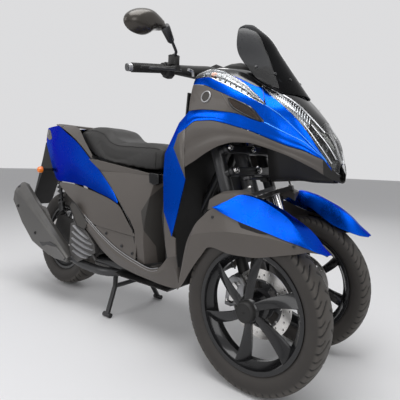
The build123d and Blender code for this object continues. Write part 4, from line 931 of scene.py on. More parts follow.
# %% Turn lamps
crease_line = line["crease"]
chassis_pair(
    "turn_lamp_covers",
    skin_strip([lamp_top, crease_line], spaced(COWL_BACK, SHOULDER_END, 44), across=8, crown=5), lens_clear,
    "lamp_lens", ("indicators",), wall=2.0, edge=0.6, sharp=40)
shelf_lines = [
    set_in(lamp_top, crease_line, share, depth)
    for share, depth in ((0.03, 3), (0.2, 12), (0.42, 9), (0.5, 15), (0.75, 12), (0.97, 3))]
chassis_pair(
    "turn_lamp_housings", skin_strip(shelf_lines, spaced(455, 736, 52), across=1, crown=0, gap=0),
    *SILVER_LOOK, wall=1.2, sharp=14)
facets = []
for index in range(11):
    x = 470 + index * 24
    high, low = set_in(lamp_top, crease_line, 0.22, 8)(x), set_in(lamp_top, crease_line, 0.8, 7)(x + 8)
    facets.append(rod((x, *high), (x + 8, *low), 2.2, 8))
chassis_pair("turn_lamp_ribs", merge_parts(*facets), lamp_dark, "alloy")
y, z = set_in(lamp_top, crease_line, 0.5, 8)(512)
chassis_pair(
    "turn_lamp_bulbs", turned((506, y, z), (528, y, z), [(4, 0), (7, 0.2), (7, 0.7), (3, 1)], 16),
    amber_lens, "orange_lens")

# %% [markdown]
# ### Windscreen
# A short sports screen: a thin smoked sheet that curves round in plan and leans back, with a rounded top.
# Its edge is ground smooth and a row of small bolts holds it to the cover. A curved thin shell reads as
# plastic only if its outline and curvature are smooth, so it is one grid with many steps and no
# subdivision.

# %% Screen
# height, x at the middle, x at the edges, half-width
SCREEN = [
    (900, 846, 770, 132), (1010, 770, 672, 134), (1108, 703, 594, 124), (1180, 655, 572, 98),
    (1222, 610, 560, 64), (1243, 584, 560, 30)]


def screen_point(height, across):
    """A point of the screen; across runs from -1 at the right edge to 1 at the left."""
    middle, ends, half = (eased(SCREEN, height, column) for column in (1, 2, 3))
    return middle - (middle - ends) * abs(across) ** 1.9, half * across, height


SCREEN_FOOT, SCREEN_TALL = 940, 303
heights = [SCREEN_FOOT + SCREEN_TALL * (1 - (1 - step / 40) ** 1.6) for step in range(41)]
rows = []
for height in heights:
    row = []
    for j in range(49):
        x, y, z = screen_point(height, (j - 24) / 24)
        row.append((x, y, max(z, eased(TOP, x, 1) - 26)))
    rows.append(row)
mesh_piece(
    "windscreen_sheet", *strip_loft(rows, closed=False), "chassis", screen_smoke, "screen", ("windscreen",),
    wall=3, edge=0.8, sharp=40)
screws = []
for height, across in ((1040, 0.86), (1016, 0.60), (1000, 0.3), (1040, -0.86), (1016, -0.60), (1000, -0.3)):
    x, y, z = screen_point(height, across)
    screws.append(((x, y, z), (0.8, 0.7 * across, 0.5)))
mesh_piece("screen_screws", *bolt_heads(screws, 5, 3), "chassis", *METAL_LOOK)

# %% Instrument hood behind the screen
hood_rows = []
for x, half, low, high in (
        (486, 80, 1054, 1074), (500, 86, 1056, 1084), (530, 88, 1058, 1090), (560, 84, 1054, 1091),
        (590, 74, 1048, 1080), (640, 58, 1040, 1058)):
    hood_rows.append([
        (x, half * cos(turn), low + (high - low) * max(0, sin(turn)) ** 0.6)
        for turn in [pi * i / 20 for i in range(21)]])
mesh_piece(
    "instrument_hood", *strip_loft(hood_rows, closed=False), "chassis", panel_black, "black_gloss",
    ("dash",), wall=3, edge=1)
glass_face = [
    [
        (489 + 3 * abs(a) + b * 6, a * 70, 1057 + b * 22 - 6 * a * a)
        for a in [(i - 8) / 8 for i in range(17)]] for b in (0, 0.25, 0.5, 0.75, 1.0)]
mesh_piece("instrument_face", *strip_loft(glass_face, closed=False), "chassis", *GLOSS_LOOK, wall=2)

# %% [markdown]
# ## Front wheels
# Each tyre is one ring turned from its section. The sipes are pressed into the mesh itself, so they show in
# the outline as well as on the surface. The rim is turned too, and its six twisted blades are lofted from
# the hub to the barrel.

# %% Tyres
TREAD_DEPTH = 3.4
STEPS_ROUND = 560


def tyre_section(radius, width, bead, rim_half):
    """Outer line of a tyre from one bead to the other, as (radius, across)."""
    half = width / 2
    shoulder, belly, lip = radius - 0.28 * half, bead + 0.5 * (radius - bead), bead + 10
    right = [
        (bead + 0.6, rim_half - 6), (lip, rim_half - 5), (lip + 2, rim_half - 1.5), (lip + 8, half - 4.5)]
    right += [
        (belly - 4, half - 0.8), (belly + 6, half - 0.3), (shoulder - 10, half - 2.2),
        (shoulder, half - 4.6)]
    crown = [
        (
            shoulder + (radius - shoulder) * sin(turn),
            (half - 4.6) * cos(turn) ** 0.92 if turn < pi / 2 - 1e-6 else 0)
        for turn in [pi / 2 * i / 12 for i in range(1, 13)]]
    half_line = right + crown
    return [(r, -y) for r, y in half_line] + [(r, y) for r, y in half_line[-2::-1]]


def sipe_depth(turn, across, half, count, hand):
    """How deep the tread is cut at a place: slanted sipes on each shoulder."""
    share = across / half
    if abs(share) > 0.97:
        return 0.0
    pitch = 2 * pi / count
    slant = turn + hand * (0.80 * abs(share) ** 1.5) * pitch + (0.5 * pitch if share > 0 else 0)
    near = abs((slant / pitch) % 1 - 0.5)
    deep = max(0.0, 1 - near / 0.085) if 0.10 < abs(share) < 0.94 else 0.0
    short = abs(((slant + 0.5 * pitch) / pitch) % 1 - 0.5)
    extra = max(0.0, 1 - short / 0.07) if 0.62 < abs(share) < 0.92 else 0.0
    return min(1.0, 1.6 * max(deep, extra))


def tyre_piece(name, node, body, centre, radius, width, bead, rim_half, count, hand):
    """A tyre with its tread pressed in."""
    section = tyre_section(radius, width, bead, rim_half)
    points, faces = lathe(section, (0, 0, 0), STEPS_ROUND)
    half = width / 2
    dense, shares, crown_shares = [], [], []
    for x, y, z in points:
        reach = hypot(x, z)
        on_crown = reach > radius - 0.30 * half - 1
        share = sipe_depth(atan2(z, x), y, half, count, hand) if on_crown else 0.0
        cut = share * TREAD_DEPTH
        dense.append((
            x * (reach - cut) / reach + centre[0], y + centre[1], z * (reach - cut) / reach + centre[2]))
        shares.append(share)
        crown_shares.append(1.0 if on_crown else 0.0)
    piece = mesh_piece(name, dense, faces, body, tyre_wall, "tyre", (node,), sharp=75)
    # The sipe mask is read by the tyre's finish to paint shade into the bottom of each groove
    for label, values in (("sipe", shares), ("crown", crown_shares)):
        mask = piece.data.attributes.new(label, "FLOAT", "POINT")
        mask.data.foreach_set("value", values)
    print(name, len(faces), "faces")
    return piece


FRONT_AXLE_X, HALF_TRACK, FRONT_AXLE_Z = 740, 192.5, 250
FRONT_WHEELS = [(name, side, (FRONT_AXLE_X, side * HALF_TRACK, FRONT_AXLE_Z)) for name, side in SIDES]
REAR_HUB = (-610, 0, 266)
# Outside radius, width, bead radius and half-width between the rim's lips
FRONT_TYRE, REAR_TYRE = (250, 90, 178, 36), (256, 130, 165, 50)
FRONT_SIPES, REAR_SIPES = 30, 26
# The bottom of each sipe is painted near black as painted shade in the groove, and the crown is paler than
# the walls, from two masks stored with the tyre
tree = tyre_wall.node_tree
shader = tree.nodes["Principled BSDF"]
for label, tone in (("crown", (0.105, 0.096, 0.086)), ("sipe", (0.006, 0.006, 0.006))):
    where = tree.nodes.new("ShaderNodeAttribute")
    where.attribute_name = label
    share = where.outputs["Fac"] if label == "sipe" else math_node(
        tree, "MULTIPLY", where.outputs["Fac"], 0.55)
    blend = mix_node(tree, share, shader.inputs["Base Color"].links[0].from_socket, tone)
    tree.links.new(blend, shader.inputs["Base Color"])

for side_name, side, centre in FRONT_WHEELS:
    tyre_piece(
        f"front_tyre_{side_name}", f"tyre_{side_name}", f"wheel_{side_name}", centre, *FRONT_TYRE,
        FRONT_SIPES, 1)
tyre_piece("rear_tyre", "tyre_rear", "wheel_rear", REAR_HUB, *REAR_TYRE, REAR_SIPES, -1)

# %% Rims
BLADES = 6
DISC_RADIUS, FRONT_DISC_Y, REAR_DISC_Y = 110, 148.5, -68
FRONT_HUB, REAR_HUB_RUN = (-44, 44), (-74, 62)


def blade(centre, side, number, hub_radius, rim_radius, depth, swing, reach_out):
    """One swept spoke: thick at the hub, flat along its face and flared into the rim."""
    cx, cy, cz = centre
    sections = []
    for step in range(15):
        share = step / 14
        radius = hub_radius + (rim_radius - hub_radius) * share
        turn = radians(90 + number * 360 / BLADES) + side * radians(swing) * share
        ahead = Vector((cos(turn), 0, sin(turn)))
        along_rim = Vector((-sin(turn), 0, cos(turn)))
        twist = radians(16 + 22 * share) * side
        wide = 13 + 13 * share ** 1.3
        thick = 13 - 6.0 * share
        middle = Vector((cx, cy, cz)) + ahead * radius + Vector((
            0, side * (reach_out - (reach_out - depth) * share), 0))
        flat = along_rim * cos(twist) + Vector((0, side * sin(twist), 0))
        up = Vector((0, side * cos(twist), 0)) - along_rim * sin(twist)
        sections.append([
            tuple(middle + flat * a * wide + up * b * thick)
            for a, b in (
                (-1, -0.2), (-0.94, 0.1), (-0.3, 0.62), (0.62, 1.0), (0.8, 0.94), (1, 0.1), (0.94, -0.2),
                (0.6, -0.6), (-0.6, -0.6))])
    return strip_loft(sections)


def rim_piece(name, node, body, centre, side, bead, rim_half, hub_in, hub_out, swing=9):
    """Barrel, blades and hub of a cast wheel."""
    lip, seat, well = bead + 9, rim_half - 5, bead - 18
    barrel = [
        (lip, -rim_half), (lip, -seat - 1), (bead + 3, -seat), (bead, -seat + 3), (bead - 1, 12 - seat),
        (well, 24 - seat), (well, seat - 24), (bead - 1, seat - 12), (bead, seat - 3), (bead + 3, seat),
        (lip, seat + 1), (lip, rim_half), (lip - 3, rim_half + 0.6), (bead - 4, rim_half - 1),
        (bead - 7, seat - 8), (well - 5, seat - 22), (well - 5, 22 - seat), (bead - 7, 8 - seat),
        (bead - 4, 1 - rim_half), (lip - 3, -rim_half - 0.6)]
    near, far = sorted((hub_in, hub_out))
    parts = [lathe(barrel, centre, 128, closed=True)]
    for number in range(BLADES):
        parts.append(
            blade(
                centre, side, number, 30, bead - 5, rim_half * 0.42, swing,
                min(abs(near), abs(far), 36) * 0.8))
    hub = [
        (9, near), (27, near), (31, near + 4), (33, near + 14), (33, far - 14), (31, far - 4), (27, far),
        (9, far)]
    parts.append(lathe(hub, centre, 64, closed=True))
    face = far if side == 1 else near
    parts.append(
        lathe(
            [
                (52, face - side * 52), (50, face - side * 44), (42, face - side * 16),
                (35, face - side * 2), (30, face), (0.5, face)], centre, 64))
    valve = Vector(centre) + Vector((cos(2.2), 0, sin(2.2))) * (well - 4)
    parts.append(rod(valve, valve - Vector((cos(2.2), 0, sin(2.2))) * 26, 3, 10))
    return mesh_piece(name, *merge_parts(*parts), body, wheel_black, "wheel_alloy", (node,), sharp=42)


for side_name, side, centre in FRONT_WHEELS:
    rim_piece(
        f"front_rim_{side_name}", f"rim_{side_name}", f"wheel_{side_name}", centre, side, *FRONT_TYRE[2:],
        *FRONT_HUB)
rim_piece("rear_rim", "rim_rear", "wheel_rear", REAR_HUB, -1, *REAR_TYRE[2:], *REAR_HUB_RUN)
for side_name, side, centre in FRONT_WHEELS:
    cap = lathe(
        [
            (35, side * 40), (33, side * 50), (30, side * 58), (27, side * 60), (25.5, side * 58.5),
            (2, side * 58.8)], centre, 56)
    mesh_piece(f"axle_cap_{side_name}", *cap, f"wheel_{side_name}", *BLACK_LOOK, sharp=40)

# %% Brake discs: a drilled ring on a black carrier


def disc_pieces(side_name, body, centre, near, side, radius, node):
    """Drilled stainless ring, carrier arms and rivets."""
    ring = [circle(radius, 96), circle(radius - 34, 96)[::-1]]
    for index in range(30):
        turn = 2 * pi * index / 30
        reach = radius - (8, 17, 26)[index % 3]
        ring.append(circle(3.4, 10, (reach * cos(turn), reach * sin(turn)))[::-1])
    across = Matrix.Translation(
        Vector((centre[0], near + side * 2, centre[2])) * MM) @ Matrix.Rotation(pi / 2, 4, "X")
    pierced_plate(f"brake_ring_{side_name}", ring, 4, body, disc_steel, "steel", across, (node,))
    windows = [circle(radius - 33, 96), circle(34, 48)[::-1]]
    for index in range(5):
        low, high = 2 * pi * index / 5 + 0.22, 2 * pi * (index + 1) / 5 - 0.22
        turns = [low + (high - low) * i / 8 for i in range(9)]
        windows.append(
            [((radius - 40) * cos(t), (radius - 40) * sin(t)) for t in turns]
            + [(48 * cos(t), 48 * sin(t)) for t in turns[::-1]])
    pierced_plate(f"disc_carrier_{side_name}", windows, 5, body, *METAL_LOOK, across)
    rivets = [
        (
            (centre[0] + (radius - 37) * cos(t), near - side * 0.6, centre[2] + (radius - 37) * sin(t)),
            (0, side, 0)) for t in [2 * pi * i / 10 for i in range(10)]]
    mesh_piece(
        f"disc_rivets_{side_name}",
        *bolt_heads([(Vector(p) + Vector((0, side * 3, 0)), d) for p, d in rivets], 4, 3.4), body,
        *STEEL_LOOK)


disc_steel = finish(
    "disc_steel", (0.56, 0.54, 0.51), 0.30, metal=1.0, grain=160.0, depth=0.15, mottle=0.10, marks=26.0)
for side_name, side, centre in FRONT_WHEELS:
    disc_pieces(
        side_name, f"wheel_{side_name}", centre, side * FRONT_DISC_Y, side, DISC_RADIUS, f"disc_{side_name}"
    )
disc_pieces("rear", "wheel_rear", REAR_HUB, REAR_DISC_Y, -1, DISC_RADIUS, "disc_rear")

# %% [markdown]
# ## Front fenders
# Each fender has a painted top with a long ridge from the rear corner to the tip: the outer facet faces the
# light and the inner facet falls away. Below it a grey guard carries a fold along its length and a pointed
# flap behind the wheel. Both are lofted from stations along the wheel.

# %% Fender tops
# x, then y and z of the outer edge, the outer ridge, the inner ridge and the inner edge
FENDER = [(602, 247, 553, 246.5, 554, 200, 553, 150, 548), (650, 247, 536, 235, 577, 195, 577, 150, 560),
          (700, 247, 521, 222, 600, 190, 599, 150, 566), (760, 247, 508, 216, 590, 190, 589, 150, 545),
          (830, 247, 493, 219, 562, 190, 564, 150, 502), (860, 247, 486, 223, 547, 188, 548, 151, 484),
          (913, 246, 476, 237, 506, 186, 518, 154, 466), (939, 244, 470, 243.5, 478, 184, 496, 158, 459),
          (965, 232, 460, 231.5, 463, 186, 468, 168, 453), (985, 212, 452, 211.5, 453, 195, 453, 185, 451)]


def fender_edge(column):
    """One edge of the fender as a function from x to a point."""
    return lambda x: (x, eased(FENDER, x, column), eased(FENDER, x, column + 1))


def facet(first, second, start, end, steps, bow):
    """A strip between two edges with a slight bow."""
    rows = []
    for x in spaced(start, end, steps):
        a, b = Vector(first(x)), Vector(second(x))
        way = b - a
        out = Vector((0, -way.z, way.y))
        out = out.normalized() * (1 if out.z > 0 else -1) if out.length > 0.5 else Vector((0, 0, 0))
        rows.append([tuple(a + way * j / 5 + out * 4 * bow * (j / 5) * (1 - j / 5)) for j in range(6)])
    return strip_loft(rows, closed=False)


out_edge, out_ridge, in_ridge, in_edge = (fender_edge(column) for column in (1, 3, 5, 7))
for side_name, side in SIDES:
    top = merge_parts(
        facet(out_edge, out_ridge, 602, 985, 56, 1.6), facet(out_ridge, in_ridge, 700, 985, 44, 1.2),
        facet(in_ridge, in_edge, 700, 985, 44, 1.2))
    mesh_piece(
        f"fender_{side_name}", *side_copy(top, side), f"fork_{side_name}", *BLUE_LOOK,
        (f"fender_top_{side_name}",), wall=2.6, edge=0.8, sharp=16, weld=0.004)

# %% Fender sides and flaps
# x, top z, fold z, fold reach, low z
GUARD = [
    (455, 256, 256, 0, 256), (469, 330, 300, 2, 268), (488, 420, 369, 5, 292), (508, 462, 430, 9, 322),
    (529, 494, 457, 11, 351), (560, 522, 464, 12, 390), (590, 546, 471, 12, 422), (606, 550, 474, 12, 424),
    (680, 527, 484, 11, 414), (762, 507, 485, 9, 417), (813, 497, 484, 7, 427), (861, 488, 479, 5, 439),
    (906, 478, 472, 3, 450), (937, 470, 467, 2, 458), (967, 461, 460, 1, 456), (986, 453, 452.5, 0, 451)]
for side_name, side in SIDES:
    sections = []
    for x in spaced(455, 984, 90):
        top_z, fold_z, fold_out, low_z = (eased(GUARD, x, column) for column in range(1, 5))
        base = 242.5 - max(0.0, x - 915) * 0.42
        fold = (x, base + fold_out, fold_z)
        high, low = (x, base - 0.5, top_z - 1), (x, base + 0.35 * fold_out, low_z)
        sections.append([
            tuple(Vector(a).lerp(Vector(b), share))
            for a, b, shares in ((high, fold, (0, 0.33, 0.66)), (fold, low, (0, 0.33, 0.66, 1)))
            for share in shares])
    guard = side_copy(strip_loft(sections, closed=False), side)
    mesh_piece(
        f"fender_guard_{side_name}", *guard, f"fork_{side_name}", *GREY_LOOK, (f"fender_side_{side_name}",),
        wall=2.8, edge=0.8, sharp=12)
    pocket = side_copy(
        plate([(704, 519), (716, 503), (730, 493), (745, 489), (806, 493), (812, 497)], 243.5, 247.2), side)
    mesh_piece(f"guard_pocket_{side_name}", *pocket, f"fork_{side_name}", *GLOSS_PANEL_LOOK, edge=0.6)
    flap_rows = []
    for x, z in ((587, 540), (556, 503), (526, 470), (497, 446), (484, 400), (470, 336), (458, 262)):
        narrow = max(0, 446 - z) / 190
        flap_rows.append([(x + 2, 150 + 22 * narrow, z), (x - 3, 190, z), (x - 1, 225, z), (x + 3, 238, z)])
    flap = side_copy(strip_loft(flap_rows, closed=False), side)
    mesh_piece(f"fender_flap_{side_name}", *flap, f"fork_{side_name}", *BLACK_LOOK, wall=2.6, edge=0.8)
    stay = side_copy(
        plate(
            [(553, 512), (566, 527), (600, 556), (650, 590), (652, 545), (606, 512), (547, 498)], 148, 152),
        side)
    mesh_piece(f"fender_stay_{side_name}", *stay, f"fork_{side_name}", *BLACK_LOOK, edge=1)
    # Its inner face stays out from y 142, because the tie rod comes down inside it when the trike leans
    block = side_copy(
        strip_loft(
            [
                [
                    (x, 142, z - 34), (x, 142, z - 6), (x, 158, z + 1), (x, 190, z), (x, wide, z - 10),
                    (x, wide + 4, z - drop)]
                for x, z, wide, drop in (
                    (546, 558, 200, 20), (562, 584, 214, 44), (605, 604, 224, 54), (665, 611, 222, 34),
                    (692, 602, 214, 16), (706, 594, 208, 10))], closed=True), side)
    mesh_piece(f"fender_bracket_{side_name}", *block, f"fork_{side_name}", *GREY_LOOK, edge=3)
    holes = [((x, 247, z), (0, 1, 0)) for x, z in ((604, 522), (898, 471))]
    mesh_piece(
        f"fender_screws_{side_name}", *side_copy(bolt_heads(holes, 4.5, 2.4), side), f"fork_{side_name}",
        *METAL_LOOK)

# %% [markdown]
# ## Front suspension between the wheels
# The arms, uprights, forks and tie rod are solids with the right shape already, so they stay and only get a
# finish. Their edges are rounded with a Bevel modifier, because cast and welded parts never have knife
# edges. A few things are added where they would be bolted on: shiny stanchion tubes, rubber boots, caliper
# bodies and bolts.

# %% Dress the solids that stay


def dress(node, material, edge=0.8, sharp=40):
    """Gives a solid its finish and rounds its edges."""
    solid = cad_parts[node]
    solid.data.materials.clear()
    solid.data.materials.append(material)
    weld = solid.modifiers.new("weld", "WELD")
    weld.merge_threshold = 0.00002
    if edge:
        bevel = solid.modifiers.new("rounded", "BEVEL")
        bevel.width, bevel.segments, bevel.limit_method, bevel.angle_limit = edge * MM, 2, "ANGLE", radians(
            sharp)
    return solid


for node, material, edge in (
        ("frame", satin_metal, 0), ("lower_arm", satin_metal, 1.5), ("upper_arm", satin_metal, 1.5),
        ("upright_left", satin_metal, 1.0), ("upright_right", satin_metal, 1.0),
        ("fork_left", dark_alloy, 1.0), ("fork_right", dark_alloy, 1.0),
        ("tie_rod_knuckle", dark_alloy, 1.0), ("tie_rod", satin_metal, 0.8),
        ("steering_column", satin_metal, 0.8), ("handlebar", satin_metal, 0),
        ("arch_liner", panel_black, 0), ("belly_tray", panel_black, 0.6), ("storage_box", panel_black, 0.8),
        ("seat_hinge", satin_metal, 0.5), ("centre_stand", satin_metal, 0.8),
        ("side_stand", satin_metal, 0.8), ("engine", dark_alloy, 2.0), ("inner_shield", panel_black, 0)):
    dress(node, material, edge)
print("solids dressed")

# %% Stanchions, boots, calipers and bolts
CASTER = radians(20)
HEAD = Vector((558.68, 0, 685))
# Half the distance between the two legs of a fork, and how far out they stand
FORK_SPREAD, FORK_Y = 34, 121
UP, AHEAD, LEFT = Vector((
    -sin(CASTER), 0, cos(CASTER))), Vector((cos(CASTER), 0, sin(CASTER))), Vector((0, 1, 0))


def head_point(ahead, left, up):
    """A point given along the steering head's own directions."""
    return HEAD + AHEAD * ahead + LEFT * left + UP * up


for side_name, side in SIDES:
    body = f"fork_{side_name}"
    tubes, boots, rings = [], [], []
    for spread in (-FORK_SPREAD, FORK_SPREAD):
        foot, top = head_point(spread, side * FORK_Y, -224), head_point(spread, side * FORK_Y, -122)
        tubes.append(turned(foot, top, [(16.9, 0), (16.9, 1)], 32))
        boot = []
        for index in range(9):
            boot += [(21.5, index / 9), (24.5, (index + 0.5) / 9)]
        boots.append(
            turned(
                head_point(spread, side * FORK_Y, -232), head_point(spread, side * FORK_Y, -196),
                boot + [(21, 1)], 32))
        rings.append(
            turned(
                head_point(spread, side * FORK_Y, -126), head_point(spread, side * FORK_Y, -121),
                [(19, 0), (21, 0.3), (21, 1)], 28))
    mesh_piece(f"stanchions_{side_name}", *merge_parts(*tubes), body, chrome_trim, "steel")
    mesh_piece(f"fork_boots_{side_name}", *merge_parts(*boots), body, *RUBBER_LOOK)
    mesh_piece(f"fork_rings_{side_name}", *merge_parts(*rings), body, *ALLOY_LOOK)
    heads = [
        (head_point(ahead, side * left, -104.5), tuple(UP))
        for ahead, left in ((-FORK_SPREAD, FORK_Y), (FORK_SPREAD, FORK_Y), (94, 150), (0, 168))]
    mesh_piece(f"bracket_bolts_{side_name}", *bolt_heads(heads, 8, 6), body, *STEEL_LOOK)
    cap = turned(
        head_point(0, side * 150, 77), head_point(0, side * 150, 92),
        [(21, 0), (22, 0.2), (22, 0.6), (17, 0.75), (12, 1), (5, 1)], 36)
    mesh_piece(f"upright_cap_{side_name}", *cap, body, chrome_trim, "steel")
    caliper = [
        (604, 222), (612, 308), (634, 326), (664, 322), (684, 300), (682, 262), (664, 236), (630, 220)]
    parts = [
        side_copy(plate(caliper, 124, 143.5), side),
        side_copy(plate([(x + 4, z) for x, z in caliper], 157, 172), side)]
    mesh_piece(f"caliper_{side_name}", *merge_parts(*parts), body, *ALLOY_LOOK, edge=3.5, sharp=30)
    pistons = [rod((x, side * 171, z), (x, side * 176, z), 13, 24) for x, z in ((636, 246), (650, 292))]
    mesh_piece(f"caliper_pistons_{side_name}", *merge_parts(*pistons), body, *STEEL_LOOK)
    pins = bolt_heads(
        [((x, side * 172, z), (0, side, 0)) for x, z in ((618, 238), (668, 306), (672, 252))], 5, 4)
    mesh_piece(f"caliper_pins_{side_name}", *pins, body, *STEEL_LOOK)
    nut = turned(
        (740, side * 124, 250), (740, side * 108, 250), [(17, 0), (17, 0.3), (12, 0.4), (12, 0.9), (9, 1)],
        6)
    mesh_piece(f"axle_nut_{side_name}", *nut, body, *STEEL_LOOK)
for name, up in (("upper", 55), ("lower", -30)):
    heads = bolt_heads([(head_point(58, left, up), tuple(AHEAD)) for left in (0, -150, 150)], 11, 8)
    mesh_piece(f"{name}_arm_bolts", *heads, f"{name}_arm", *STEEL_LOOK)
boots = [
    turned(
        head_point(94, side * 60, -75), head_point(94, side * 32, -75),
        [(7, 0), (10, 0.15), (8, 0.3), (10.5, 0.45), (8.5, 0.6), (9.5, 0.8), (7, 1)], 24)
    for side in (-1, 1)]
mesh_piece("tie_rod_sleeves", *merge_parts(*boots), "tie_rod", *RUBBER_LOOK)
print("suspension dressed")

# %% [markdown]
# ## Leg shield, floor and skirts
# The blue band runs on down each side of the leg shield to a point. Behind it the inner shield is grained
# black plastic, and the long grey skirt sweeps back and up beside the floor.

# %% Leg shield blades


def blade_sheet(side):
    """A thin crowned sheet with the blade's outline, filled in rows between its two edges."""
    front = [
        (404, 430, 229), (434, 530, 231), (462, 640, 230), (400, 750, 232), (420, 800, 232), (452, 818, 230)
    ]
    back = [
        (404, 430, 229), (357, 514, 228), (350, 640, 230), (352, 728, 229), (410, 842, 220), (452, 884, 213)
    ]
    rows = []
    for step in range(61):
        share = step / 60
        position = share * (len(front) - 1)
        at = min(int(position), len(front) - 2)
        a = Vector(front[at]).lerp(Vector(front[at + 1]), position - at)
        b = Vector(back[at]).lerp(Vector(back[at + 1]), position - at)
        row = []
        for j in range(9):
            point = a.lerp(b, j / 8)
            row.append((point.x, side * (point.z + 1.5 * sin(pi * j / 8)), point.y))
        rows.append(row)
    return strip_loft(rows, closed=False)


mesh_piece(
    "leg_blades", *merge_parts(blade_sheet(1), blade_sheet(-1)), "chassis", *BLUE_LOOK, ("leg_shield",),
    wall=2.6, edge=0.8, sharp=26)

leg_foot = [(356, 514), (404, 430), (420, 424), (426, 362), (384, 350), (372, 390), (362, 450)]
chassis_pair("leg_feet", plate(leg_foot, 221, 227), *GREY_LOOK, edge=1)

# %% Inner shield dressing: shut lines, a lid and a hook
frame_line = [
    (-120, 560), (120, 560), (136, 600), (140, 700), (128, 736), (-128, 736), (-140, 700), (-136, 600)]
lid = [(346 - 0.11 * (z - 560), y, z) for y, z in frame_line]
pipe(
    "glove_lid_line",
    [(x - 34, y * 0.9, z) for x, y, z in lid] + [(lid[0][0] - 34, lid[0][1] * 0.9, lid[0][2])], 1.4,
    "chassis", *GLOSS_PANEL_LOOK, smooth=False)
hook = turned((322, 0, 520), (300, 0, 512), [(5, 0), (5, 0.7), (9, 0.8), (9, 1)], 16)
mesh_piece("bag_hook", *hook, "chassis", *METAL_LOOK)

# %% Side skirts
# x, top z, fold z, low z, top half-width, fold half-width, low half-width
SKIRT_ROWS = [
    (-298, 479, 474, 468, 182, 184, 181), (-212, 438, 418, 376, 186, 190, 178),
    (-169, 417, 392, 352, 187, 192, 178), (-77, 371, 345, 296, 188, 193.5, 178),
    (49, 320, 296, 251, 188, 193.5, 178), (163, 292, 272, 235, 188, 193.5, 178),
    (253, 278, 262, 229, 188, 193.5, 179), (298, 289, 270, 226, 188, 193.5, 180),
    (351, 342, 300, 226, 186, 193, 181), (387, 354, 306, 230, 184, 191, 181),
    (408, 262, 250, 238, 184, 188, 183)]
rows = []
for x in spaced(-298, 406, 70):
    top_z, fold_z, low_z, top_y, fold_y, low_y = (eased(SKIRT_ROWS, x, column) for column in range(1, 7))
    rows.append([
        (x, top_y - 9, top_z - 3), (x, top_y - 2, top_z), (x, top_y, top_z - 3),
        (x, top_y * 0.5 + fold_y * 0.5, top_z * 0.5 + fold_z * 0.5), (x, fold_y, fold_z),
        (x, fold_y * 0.6 + low_y * 0.4, fold_z * 0.6 + low_z * 0.4), (x, low_y, low_z)])
chassis_pair(
    "skirts", strip_loft(rows, closed=False), *GREY_LOOK, ("side_skirts",), wall=3, edge=0.9, sharp=24)
print("skirts done")

# %% Floor mat with raised ribs
mat_parts = [plate([(238, 276), (238, 281.2), (315, 281.2), (315, 276)], -172, 172)]
for side in (-1, 1):
    for index in range(9):
        x = 246 + index * 7.4
        mat_parts.append(
            plate(
                [(x, 281), (x + 1, 283), (x + 3.4, 283), (x + 4.4, 281)], *sorted((side * 40, side * 164))))
mesh_piece(
    "floor_mat", *merge_parts(*mat_parts), "chassis", mat_rubber, "rubber", ("floor_board",), edge=0.6)

# %% [markdown]
# ## Tail and side covers
# The painted tail has one sharp fold along its length. Grey covers fill the space between it and the floor,
# each made as a skin from its own table of edges so that neighbours meet in an even gap.

# %% Painted tail
TAIL = [
    (20, 178, 520, 180, 516, 181, 512), (-56, 166, 586, 174, 560, 176, 533),
    (-143, 160, 645, 170, 600, 172, 550), (-253, 145, 703, 164, 640, 166, 571),
    (-400, 127, 785, 152, 690, 152, 580), (-542, 112, 845, 134, 715, 138, 583),
    (-663, 96, 888, 114, 770, 106, 634), (-745, 80, 887, 92, 800, 86, 705),
    (-828, 62, 884, 68, 830, 66, 782)]
TAIL_EDGES = ("top", "middle", "low")
skin(
    "tail_panels", [edge_line(TAIL, TAIL_EDGES, name) for name in TAIL_EDGES], spaced(-828, 20, 90),
    *BLUE_LOOK, ("tail_cover",), wall=3, across=6, crown=0.6, sink=0.4)
tail_line = {name: edge_line(TAIL, TAIL_EDGES, name) for name in TAIL_EDGES}
RECESS = [(-826, 0.22, 1.0), (-800, 0.16, 1.0), (-770, 0.30, 0.98), (-735, 0.55, 0.86), (-712, 0.70, 0.72)]
for name, start, end, top_shift, low_shift, finish_of, rise in (
        ("tail_recesses", -826, -712, 0.0, 0.0, panel_grey, -1.2),
        ("tail_recess_slots", -812, -776, 0.22, -0.30, gloss_black, -2.6)):
    recess_top, recess_low = (
        share_line(tail_line["top"], tail_line["middle"], [(row[0], row[column] + shift) for row in RECESS])
        for column, shift in ((1, top_shift), (2, low_shift)))
    skin(
        name, [recess_top, recess_low], spaced(start, end, 14), finish_of, "grey_panel", wall=1.6, across=3,
        crown=0.2, sink=rise)
deck = [
    [(x, side * (eased(TAIL, x, 1) - 5), eased(TAIL, x, 2) - 9) for side in (-1, -0.5, 0, 0.5, 1)]
    for x in spaced(-824, -150, 50)]
mesh_piece("tail_deck", *strip_loft(deck, closed=False), "chassis", *BLACK_LOOK, wall=2)
print("tail painted")

# %% Covers under the seat
cover_grey_painted_shadow = finish(
    "cover_grey_painted_shadow", GREY, 0.46, coat=0.12, grain=1400.0, depth=0.10, mottle=0.07, wear=0.18,
    worn=(0.20, 0.185, 0.17))
tree = cover_grey_painted_shadow.node_tree
cover_shader = tree.nodes["Principled BSDF"]
plain_tone = cover_shader.inputs["Base Color"].links[0].from_socket
# Painted shadow: the cover turns dark in front of the pillar's edge, where its front face lies in shade
reach_ahead = tree.nodes.new("ShaderNodeAttribute")
reach_ahead.attribute_name = "ahead"
past_edge = tree.nodes.new("ShaderNodeMapRange")
past_edge.inputs["From Min"].default_value = -0.6
past_edge.inputs["From Max"].default_value = 0.6
tree.links.new(reach_ahead.outputs["Fac"], past_edge.inputs["Value"])
painted_shadow_tone = mix_node(tree, past_edge.outputs["Result"], plain_tone, (0.036, 0.033, 0.030))
tree.links.new(painted_shadow_tone, cover_shader.inputs["Base Color"])

